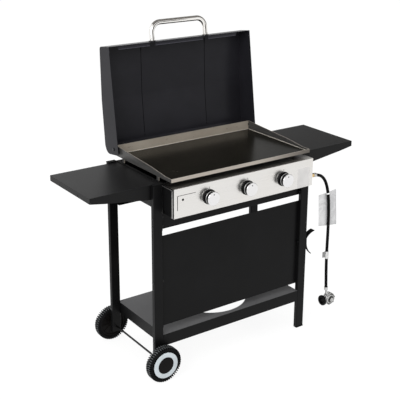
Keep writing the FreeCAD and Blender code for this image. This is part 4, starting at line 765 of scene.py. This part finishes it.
class GRIDDLE_OT_stage(Operator):
    """Pale floor, soft studio light and the camera"""
    bl_idname = "griddle.stage"
    bl_label = "Stage"

    def execute(self, context):
        studio = context.scene.griddle_studio
        mesh = bpy.data.meshes.new("floor")
        mesh.from_pydata([(-12, -12, 0), (12, -12, 0), (-12, 12, 0), (12, 12, 0)], [], [(0, 1, 3, 2)])
        mesh.materials.append(FINISHES["studio_floor"])
        placed("floor", mesh)
        context.scene.view_settings.view_transform = "Standard"
        context.scene.world = Surround(studio.world_strength).world
        softbox("key", (-3.1, -1.7, 2.7), (0, 0, 0.8), 2.6, studio.key_power)
        softbox("top", (0.4, 0.6, 3.4), (0, 0.1, 0.8), 2.2, studio.top_power)
        mirror_card("card_above", (0.45, 0.42, 1.66), AXIS_Z, 1.5, 1.3, "card_grey")
        mirror_card("card_front", (0.28, -0.75, 1.44), AXIS_Y, 0.8, 0.44, "card_dark")
        camera = placed("camera", bpy.data.cameras.new("camera"))
        camera.data.lens = studio.lens
        camera.data.shift_y = studio.shift_y
        camera.location = studio.camera_place
        camera.rotation_mode = "QUATERNION"
        turn = Matrix.Rotation(-studio.camera_turn, 4, "Z") @ Matrix.Rotation(pi / 2 - studio.camera_pitch, 4, "X")
        camera.rotation_quaternion = (turn @ Matrix.Rotation(studio.camera_roll, 4, "Z")).to_quaternion()
        context.scene.camera = camera
        return {"FINISHED"}


def hand_nut():
    """Black hand nut with finger ribs and a soft open mouth."""
    radius, length = NUT_RADIUS, NUT_LENGTH

    def ribs(at, along, angle):
        if at < radius - 0.0012 or along < 0.003 or along > length - 0.003:
            return 0
        return -0.0013 * (0.5 - 0.5 * cos(angle * NUT_RIBS)) ** 2

    body = turned(softened([
        (0.0086, 0), (radius - 0.004, 0), (radius, 0.0035), (radius, length - 0.003), (radius - 0.003, length),
        (0.0142, length), (0.0132, length - 0.0014), (0.0132, length - 0.0075), (0.0086, length - 0.0085),
        (0.0086, 0)], 0.0012), facing(TO_LEFT, Vector((NUT.high.x, NUT.middle.y, NUT.middle.z))), NUT_RIBS * 8, ribs)
    kept(finished("hand_nut", body, "knob_black", 50), "coupling", "black_plastic", "coupling_nut")


class GRIDDLE_OT_regulator(Operator):
    """Gas regulator: stepped round body, clamp screws, vent cap, neck to the hose, inlet stem and hand nut"""
    bl_idname = "griddle.regulator"
    bl_label = "Regulator"

    def execute(self, context):
        radius, depth = REGULATOR_RADIUS, REGULATOR.size.y
        centre = Vector((REGULATOR.high.x - radius, NUT.middle.y, NUT.middle.z))
        face = facing(TO_COOK, Vector((centre.x, REGULATOR.high.y, centre.z)))
        edge = radius - 0.0003
        body = turned(softened([
            (0, 0), (radius * 0.72, 0), (radius * 0.78, 0.0016), (radius * 0.92, 0.0022), (edge, 0.005),
            (edge, 0.012), (edge - 0.0016, 0.0124), (edge - 0.0016, 0.0136), (edge, 0.014), (edge, 0.024),
            (edge - 0.0022, 0.0262), *((radius * share, along) for share, along in (
                (0.87, 0.0264), (0.85, 0.0248), (0.79, 0.0248), (0.76, 0.0272), (0.66, 0.0292), (0.58, 0.0296),
                (0.56, 0.0276), (0.46, 0.0276), (0.44, 0.03))), (0, 0.03)], 0.0006, 3), face, 96)
        lathe(body, [(0, 0.029), (0.0092, 0.029), (0.0094, depth - 0.0014), (0.0084, depth - 0.0004),
                     (0.0052, depth - 0.0004), (0.0046, depth - 0.0012), (0, depth - 0.0012)], face, 12)
        for step in range(SCREW_COUNT):
            angle = tau * (step + 0.25) / SCREW_COUNT
            at = centre + Vector((cos(angle), 0, sin(angle))) * radius * 0.925
            screw = facing(TO_COOK, Vector((at.x, REGULATOR.high.y - 0.0258, at.z)))
            lathe(body, [(0, 0), (0.0021, 0), (0.0021, 0.0026), (0.0014, 0.0032), (0, 0.0032)], screw, 12)
        stem = centre.x - NUT.high.x + 0.004
        lathe(body, [
            (0, 0), (0.0118, 0), (0.0118, stem - 0.0056), (0.01, stem - 0.0044), (0.0079, stem - 0.004),
            (0.0079, stem + 0.001), (0.0066, stem + 0.0024), (0, stem + 0.0024)], facing(TO_LEFT, centre), 40)
        foot = HOSE_ROUTE[-1] + (HOSE_ROUTE[-1] - HOSE_ROUTE[-2]).normalized() * FERRULE_LENGTH
        aim = Vector((centre.x - 0.006, centre.y, centre.z)) - foot
        run = aim.length
        lathe(body, [(0, 0), (0.0048, 0), (0.0048, run * 0.3), (0.0066, run * 0.36), (0.0076, run * 0.56),
                     (0.009, run), (0, run)], facing(aim, foot - aim.normalized() * 0.0006), 36)
        kept(finished("regulator", body, "cast_regulator", 28), "stand", "cast_alloy", "regulator_body")
        hand_nut()
        return {"FINISHED"}


class GRIDDLE_OT_tag(Operator):
    """Bare vinyl tag behind the hose, with a slow curl and a narrow white band"""
    bl_idname = "griddle.tag"
    bl_label = "Hose tag"

    def execute(self, context):
        tag = Box("hose_tag")
        corners = [Vector((tag.low.x + across, tag.high.y, (tag.high.z if top else tag.low.z) + up))
                   for across, up, top in TAG_CORNERS]
        builder = bmesh.new()
        rows = []
        for down in (row / TAG_ROWS for row in range(TAG_ROWS + 1)):
            line = []
            for across in (column / TAG_COLUMNS for column in range(TAG_COLUMNS + 1)):
                place = corners[0].lerp(corners[1], across).lerp(corners[2].lerp(corners[3], across), down)
                away = (across - 0.38) / 0.62
                place.y += 0.0045 * away * away + 0.001 * down * sin(5 * down + 3 * across) ** 2
                line.append(builder.verts.new(place))
            rows.append(line)
        for above, below in zip(rows, rows[1:]):
            for column in range(TAG_COLUMNS):
                builder.faces.new((above[column], above[column + 1], below[column + 1], below[column]))
        sheet = finished("tag_sheet", builder, "tag_vinyl")
        thick = sheet.modifiers.new("thick", "SOLIDIFY")
        thick.thickness = TAG_THICK
        thick.offset = 0
        kept(baked(sheet), "stand", "tag_card", "hose_tag")
        line = hose_line()
        near = min(range(1, len(line)), key=lambda step: abs(line[step].z - tag.high.z + 0.003))
        outline = softened([(0.0064, 0), (0.0076, 0), (0.0076, 0.0052), (0.0064, 0.0052), (0.0064, 0)], 0.0004)
        band = turned(outline, facing(line[near] - line[near - 1], line[near]), 48)
        kept(finished("tag_band", band, "band_white"), "stand", "tag_card")
        return {"FINISHED"}


class GRIDDLE_OT_hose(Operator):
    """Gas hose as one smooth curve, and a list of the pieces that hang on it, which is not used"""
    bl_idname = "griddle.hose"
    bl_label = "Gas hose"

    def execute(self, context):
        sizes = context.scene.griddle_sizes
        curve = hose_curve("hose")
        curve.bevel_depth = sizes.hose_radius
        curve.bevel_resolution = 8
        curve.use_fill_caps = True
        curve.materials.append(FINISHES["hose_rubber"])
        hose = placed("hose", curve)
        kept(hose, "stand", "rubber", "gas_hose")
        on_hose = [bpy.data.objects[name] for name in ("regulator", "hand_nut", "tag_sheet", "tag_band")]
        on_hose += [frame["nodes"]["hose_ferrules"], frame["nodes"]["hose_clip"]]
        return {"FINISHED"}


class GRIDDLE_OT_handle(Operator):
    """Bent stainless tube of the lid handle"""
    bl_idname = "griddle.handle"
    bl_label = "Lid handle"

    def execute(self, context):
        sizes = context.scene.griddle_sizes
        handle, washers = Box("lid_handle"), Box("handle_washers")
        side = AXIS_X * (handle.size.x / 2 - sizes.handle_radius)
        up = Vector((0, -cos(LID_TURN), sin(LID_TURN)))
        foot = Vector((0, washers.middle.y, washers.middle.z)) + up * (washers.size.z / 2 - 0.0015)
        top = foot + up * (handle.high.z - foot.z - sizes.handle_radius) / up.z
        tube = sweep(bent_path([foot - side, top - side, top + side, foot + side], sizes.handle_bend),
                     sizes.handle_radius, 40)
        kept(finished("handle_tube", tube, "handle_steel"), "lid", "stainless", "lid_handle")
        return {"FINISHED"}


class GRIDDLE_OT_lid_creases(Operator):
    """Painted shade: a dark line laid in each pressed crease inside the lid"""
    bl_idname = "griddle.lid_creases"
    bl_label = "Lid creases"

    def execute(self, context):
        low, high = CREASE_Z
        builder = bmesh.new()
        for x in (-CREASE_X, CREASE_X):
            layers = []
            for step in range(CREASE_STEPS + 1):
                z = low + (high - low) * step / CREASE_STEPS
                hit, place = frame["nodes"]["lid_shell"].ray_cast(Vector((x, HINGE.y - 0.3, z)), AXIS_Y)[:2]
                if not hit:
                    raise RuntimeError(f"no lid at x {x:.3f}, z {z:.3f}")
                layers.append([(x + across, place.y + lift, z) for across, lift in (
                    (-CREASE_HALF, -0.0005), (CREASE_HALF, -0.0005), (CREASE_HALF, 0.0001), (-CREASE_HALF, 0.0001))])
            loft(builder, layers)
        kept(finished("lid_creases", builder, "mark_black"), "lid", "lid_enamel")
        return {"FINISHED"}


class GRIDDLE_OT_knobs(Operator):
    """Three knobs: fluted black grip, hoop, metal face with a soft edge, and a dot that points to off"""
    bl_idname = "griddle.knobs"
    bl_label = "Knobs"

    def execute(self, context):
        sizes = context.scene.griddle_sizes
        radius, flutes = sizes.knob_radius, sizes.knob_flutes
        grip = radius - 0.0024

        def flute(at, along, angle):
            return -FLUTE_DEPTH * max(0, cos(angle * flutes)) ** 2 if at > grip - 0.0006 else 0

        for knob in (f"knob_{name}" for name in KNOBS):
            box = Box(knob)
            depth = box.size.y
            band = depth - FACE_DEPTH
            place = facing(TO_COOK, Vector((box.middle.x, box.high.y, box.middle.z)))
            body = turned(softened([
                (0, 0.002), (grip - 0.003, 0.002), (grip - 0.003, 0), (grip, 0), (grip, band - 0.003),
                (radius - 0.0004, band - 0.0016), (radius - 0.0004, band + 0.0006), (0, band + 0.0006)], 0.0006),
                place, flutes * 8, flute)
            kept(finished(f"{knob}_grip", body, "knob_black", 50), knob, "black_plastic", knob)
            hoop = turned([
                (grip - 0.001, 0.0066), (grip + 0.0005, 0.0068), (grip + 0.0009, 0.0074), (grip + 0.0009, 0.0092),
                (grip + 0.0005, 0.0098), (grip - 0.001, 0.01), (grip - 0.001, 0.0066)], place, 96)
            kept(finished(f"{knob}_ring", hoop, "alloy", 50), knob, "chrome_knob")
            cap = softened([
                (0, band + 0.0003), (radius - 0.0012, band + 0.0003), (radius, band + 0.001),
                (radius, depth - 0.0014), (radius - 0.0012, depth - 0.0002), (radius - 0.0024, depth)], 0.0008)
            face = turned(cap + [(radius - 0.006, depth - 0.00045), (0, depth - 0.00035)], place, 96)
            kept(finished(f"{knob}_face", face, "knob_face"), knob, "chrome_knob")
            dot = facing(TO_COOK, Vector((box.middle.x, box.low.y + 0.0006, box.middle.z + radius * 0.6)))
            mark = turned([(0, 0), (DOT_RADIUS, 0), (DOT_RADIUS, 0.0003), (0, 0.0003)], dot, 24)
            kept(finished(f"{knob}_dot", mark, "mark_black"), knob, "black_plastic")
        return {"FINISHED"}


def on_panel(place, lift):
    """Matrix on the panel's front, lifted off it towards the cook."""
    return facing(TO_COOK, Vector((place[0], PANEL.low.y - lift, PANEL.low.z + place[1])))


class GRIDDLE_OT_panel_marks(Operator):
    """Ticks over the knobs, painted shadow lines at a nameplate's top and left edges, bare label, plug and thin trims
    of the left end
    """
    bl_idname = "griddle.panel_marks"
    bl_label = "Panel marks"

    def execute(self, context):
        front = PANEL.low.y
        for name in KNOBS:
            middle = Box(f"knob_{name}").middle
            place = facing(TO_COOK, Vector((middle.x, front - ON_SHEET, middle.z + TICK_LIFT)))
            tick = rounded_slab(bmesh.new(), 0.0019, 0.009, 0.0002, 0.0006, place)
            kept(finished(f"tick_{name}", tick, "mark_grey"), "stand", "black_plastic")
        # Painted shadow: two dark lines along the top and left edges of a nameplate that is not modelled.
        lines = bmesh.new()
        for x, z, width, height in PLATE_SHADOW_LINES:
            rounded_slab(lines, width, height, 0.00022, 0.0004, on_panel((x, z), 0.00006), 2)
        kept(finished("bare_plate_frame", lines, "mark_black"), "stand", "black_plastic")
        film = rounded_slab(bmesh.new(), *LABEL_SIZE, 0.00016, 0.002, on_panel(LABEL_PLACE, ON_SHEET))
        kept(finished("bare_label", film, "label_film"), "stand", "stainless")
        plug = turned([(0, -0.0005), (0.0046, -0.0005), (0.0046, 0.0004), (0.0034, 0.0009), (0, 0.0009)],
                      on_panel(PLUG_PLACE, 0), 24)
        kept(finished("panel_plug", plug, "mark_black"), "stand", "black_plastic")
        end = Box("panel_end_left")
        bar, upright = TRIM_WIDTH, end.size.z - 2 * TRIM_WIDTH
        fold = end.low.y + bar * 1.2
        trims = bmesh.new()
        for y, z, width, height in (
                (end.middle.y, end.high.z - bar / 2, end.size.y - bar, bar),
                (end.high.y - bar / 2, end.middle.z, bar, upright),
                ((front + fold) / 2 + 0.0003, end.middle.z, fold - front - 0.0006, upright)):
            rounded_slab(trims, width, height, 0.0006, 0.0004, facing(AXIS_X, Vector((end.low.x, y, z))), 3)
        kept(finished("panel_trims", trims, "fold_steel"), "stand", "stainless")
        return {"FINISHED"}


def lug_piece(name, outline, half_width):
    """One lug: its outline by reach and side, narrower at the top."""
    top = max(reach for reach, side in outline)
    sides = []
    for sign in (-1, 1):
        width = [sign * half_width * (1 - 0.16 * max(0, 1 - (top - reach) / 0.004)) for reach, side in outline]
        sides.append([(reach, across, side) for (reach, side), across in zip(outline, width)])
    return finished(name, loft(bmesh.new(), sides), "tread_rubber", 30)


class GRIDDLE_OT_tyres(Operator):
    """Solid tyres: smooth carcass, two staggered rows of shoulder lugs and small cleats between them"""
    bl_idname = "griddle.tyres"
    bl_label = "Tyres"

    def execute(self, context):
        sizes = context.scene.griddle_sizes
        tree = ring_tree()
        outer = TYRE_RADIUS - 0.0001
        half = TYRE.size.y / 2
        base = outer - sizes.lug_height
        low = outer - TREAD_DEPTH
        shoulder = [
            (base - 0.001, 0.0026), (outer - 0.0004, 0.0026), (outer, 0.003), (outer, 0.0108),
            (outer - 0.0012, 0.0138), (outer - 0.0042, half - 0.0012), (low, half - 0.0001),
            (low, half - 0.0026), (base - 0.001, half - 0.0048)]
        cleat = [(base - 0.001, -0.0017), (outer - 0.0008, -0.0017), (outer - 0.0008, 0.0017), (base - 0.001, 0.0017)]
        mirrored = [(reach, -side) for reach, side in shoulder]
        rows = [(lug_piece("lug_right", shoulder, 0.0023), 0), (lug_piece("lug_left", mirrored, 0.0023), 0.5),
                (lug_piece("lug_middle", cleat, 0.0017), 0.25)]
        for place in ("front", "rear"):
            middle = Box(f"tyre_{place}").middle
            inner = Box(f"trim_ring_{place}").size.z / 2 + 0.0031
            wall = [(inner, half - 0.0056), (inner + 0.003, half - 0.0006), (low - 0.001, half - 0.0006),
                    (low + 0.001, half - 0.002), (base - 0.004, half - 0.0026), (base, half - 0.0065)]
            profile = [(reach, -side) for reach, side in wall] + wall[::-1] + [(inner, -wall[0][1])]
            tyre = finished(f"tyre_{place}_tread", turned(softened(profile, 0.003, 5), facing(AXIS_Y, middle), 96),
                            "tread_rubber")
            for lug, phase in rows:
                run_tree(tyre, tree, "tread_rubber", Lug=lug, Count=sizes.lug_count, Centre=tuple(middle),
                         Start=phase * tau / sizes.lug_count)
            kept(baked(tyre), f"wheel_{place}", "tyre", f"tyre_{place}")
        for lug, phase in rows:
            bpy.data.objects.remove(lug, do_unlink=True)
        return {"FINISHED"}


class GRIDDLE_OT_welds(Operator):
    """Weld beads where the guards stand on the cooking plate"""
    bl_idname = "griddle.welds"
    bl_label = "Weld beads"

    def execute(self, context):
        pitch = context.scene.griddle_sizes.bead_pitch
        bead = placed("weld_bead", bpy.data.meshes.new("weld_bead"))
        tree = bead_tree()
        top = COOK_TOP + 0.0002
        back = HINGE.y - 0.0013 - BEAD_INSET
        inner = PLATE.high.x - BEAD_INSET
        front = PLATE.low.y + 0.004
        rows = [((-inner, back, top), (pitch, 0, 0), 2 * inner), ((-inner, front, top), (0, pitch, 0), back - front),
                ((inner, front, top), (0, pitch, 0), back - front)]
        for seed, (start, step, length) in enumerate(rows):
            run_tree(bead, tree, "weld_steel", Count=int(length / pitch), Start=start, Step=step, Radius=BEAD_RADIUS,
                     Squash=(1.0, 1.0, 0.8), Seed=seed)
        kept(baked(bead), "stand", "griddle_steel")
        return {"FINISHED"}


class GRIDDLE_PT_panel(Panel):
    """Sidebar panel that lists the build steps and settings"""
    bl_idname = "GRIDDLE_PT_panel"
    bl_label = "Griddle station"
    bl_space_type = "VIEW_3D"
    bl_region_type = "UI"
    bl_category = "Griddle"

    def draw(self, context):
        for name in SETTINGS:
            settings = getattr(context.scene, name)
            box = self.layout.box()
            for key in settings.__annotations__:
                box.prop(settings, key)
        for step in STEPS:
            self.layout.operator(step.bl_idname)


STEPS = (GRIDDLE_OT_finishes, GRIDDLE_OT_stage, GRIDDLE_OT_regulator, GRIDDLE_OT_tag, GRIDDLE_OT_hose,
         GRIDDLE_OT_handle, GRIDDLE_OT_lid_creases, GRIDDLE_OT_knobs, GRIDDLE_OT_panel_marks, GRIDDLE_OT_tyres,
         GRIDDLE_OT_welds)
SETTINGS = {"griddle_paint": PaintSettings, "griddle_sizes": SizeSettings, "griddle_studio": StudioSettings}
CLASSES = (*SETTINGS.values(), *STEPS, GRIDDLE_PT_panel)


def register():
    for made in CLASSES:
        bpy.utils.register_class(made)
    for key, made in SETTINGS.items():
        setattr(Scene, key, PointerProperty(type=made))


def unregister():
    for key in SETTINGS:
        delattr(Scene, key)
    for made in reversed(CLASSES):
        bpy.utils.unregister_class(made)


def main():
    """Build everything in order."""
    register()
    for step in STEPS:
        group, name = step.bl_idname.split(".")
        getattr(getattr(bpy.ops, group), name)()


if __name__ == "__main__":
    main()
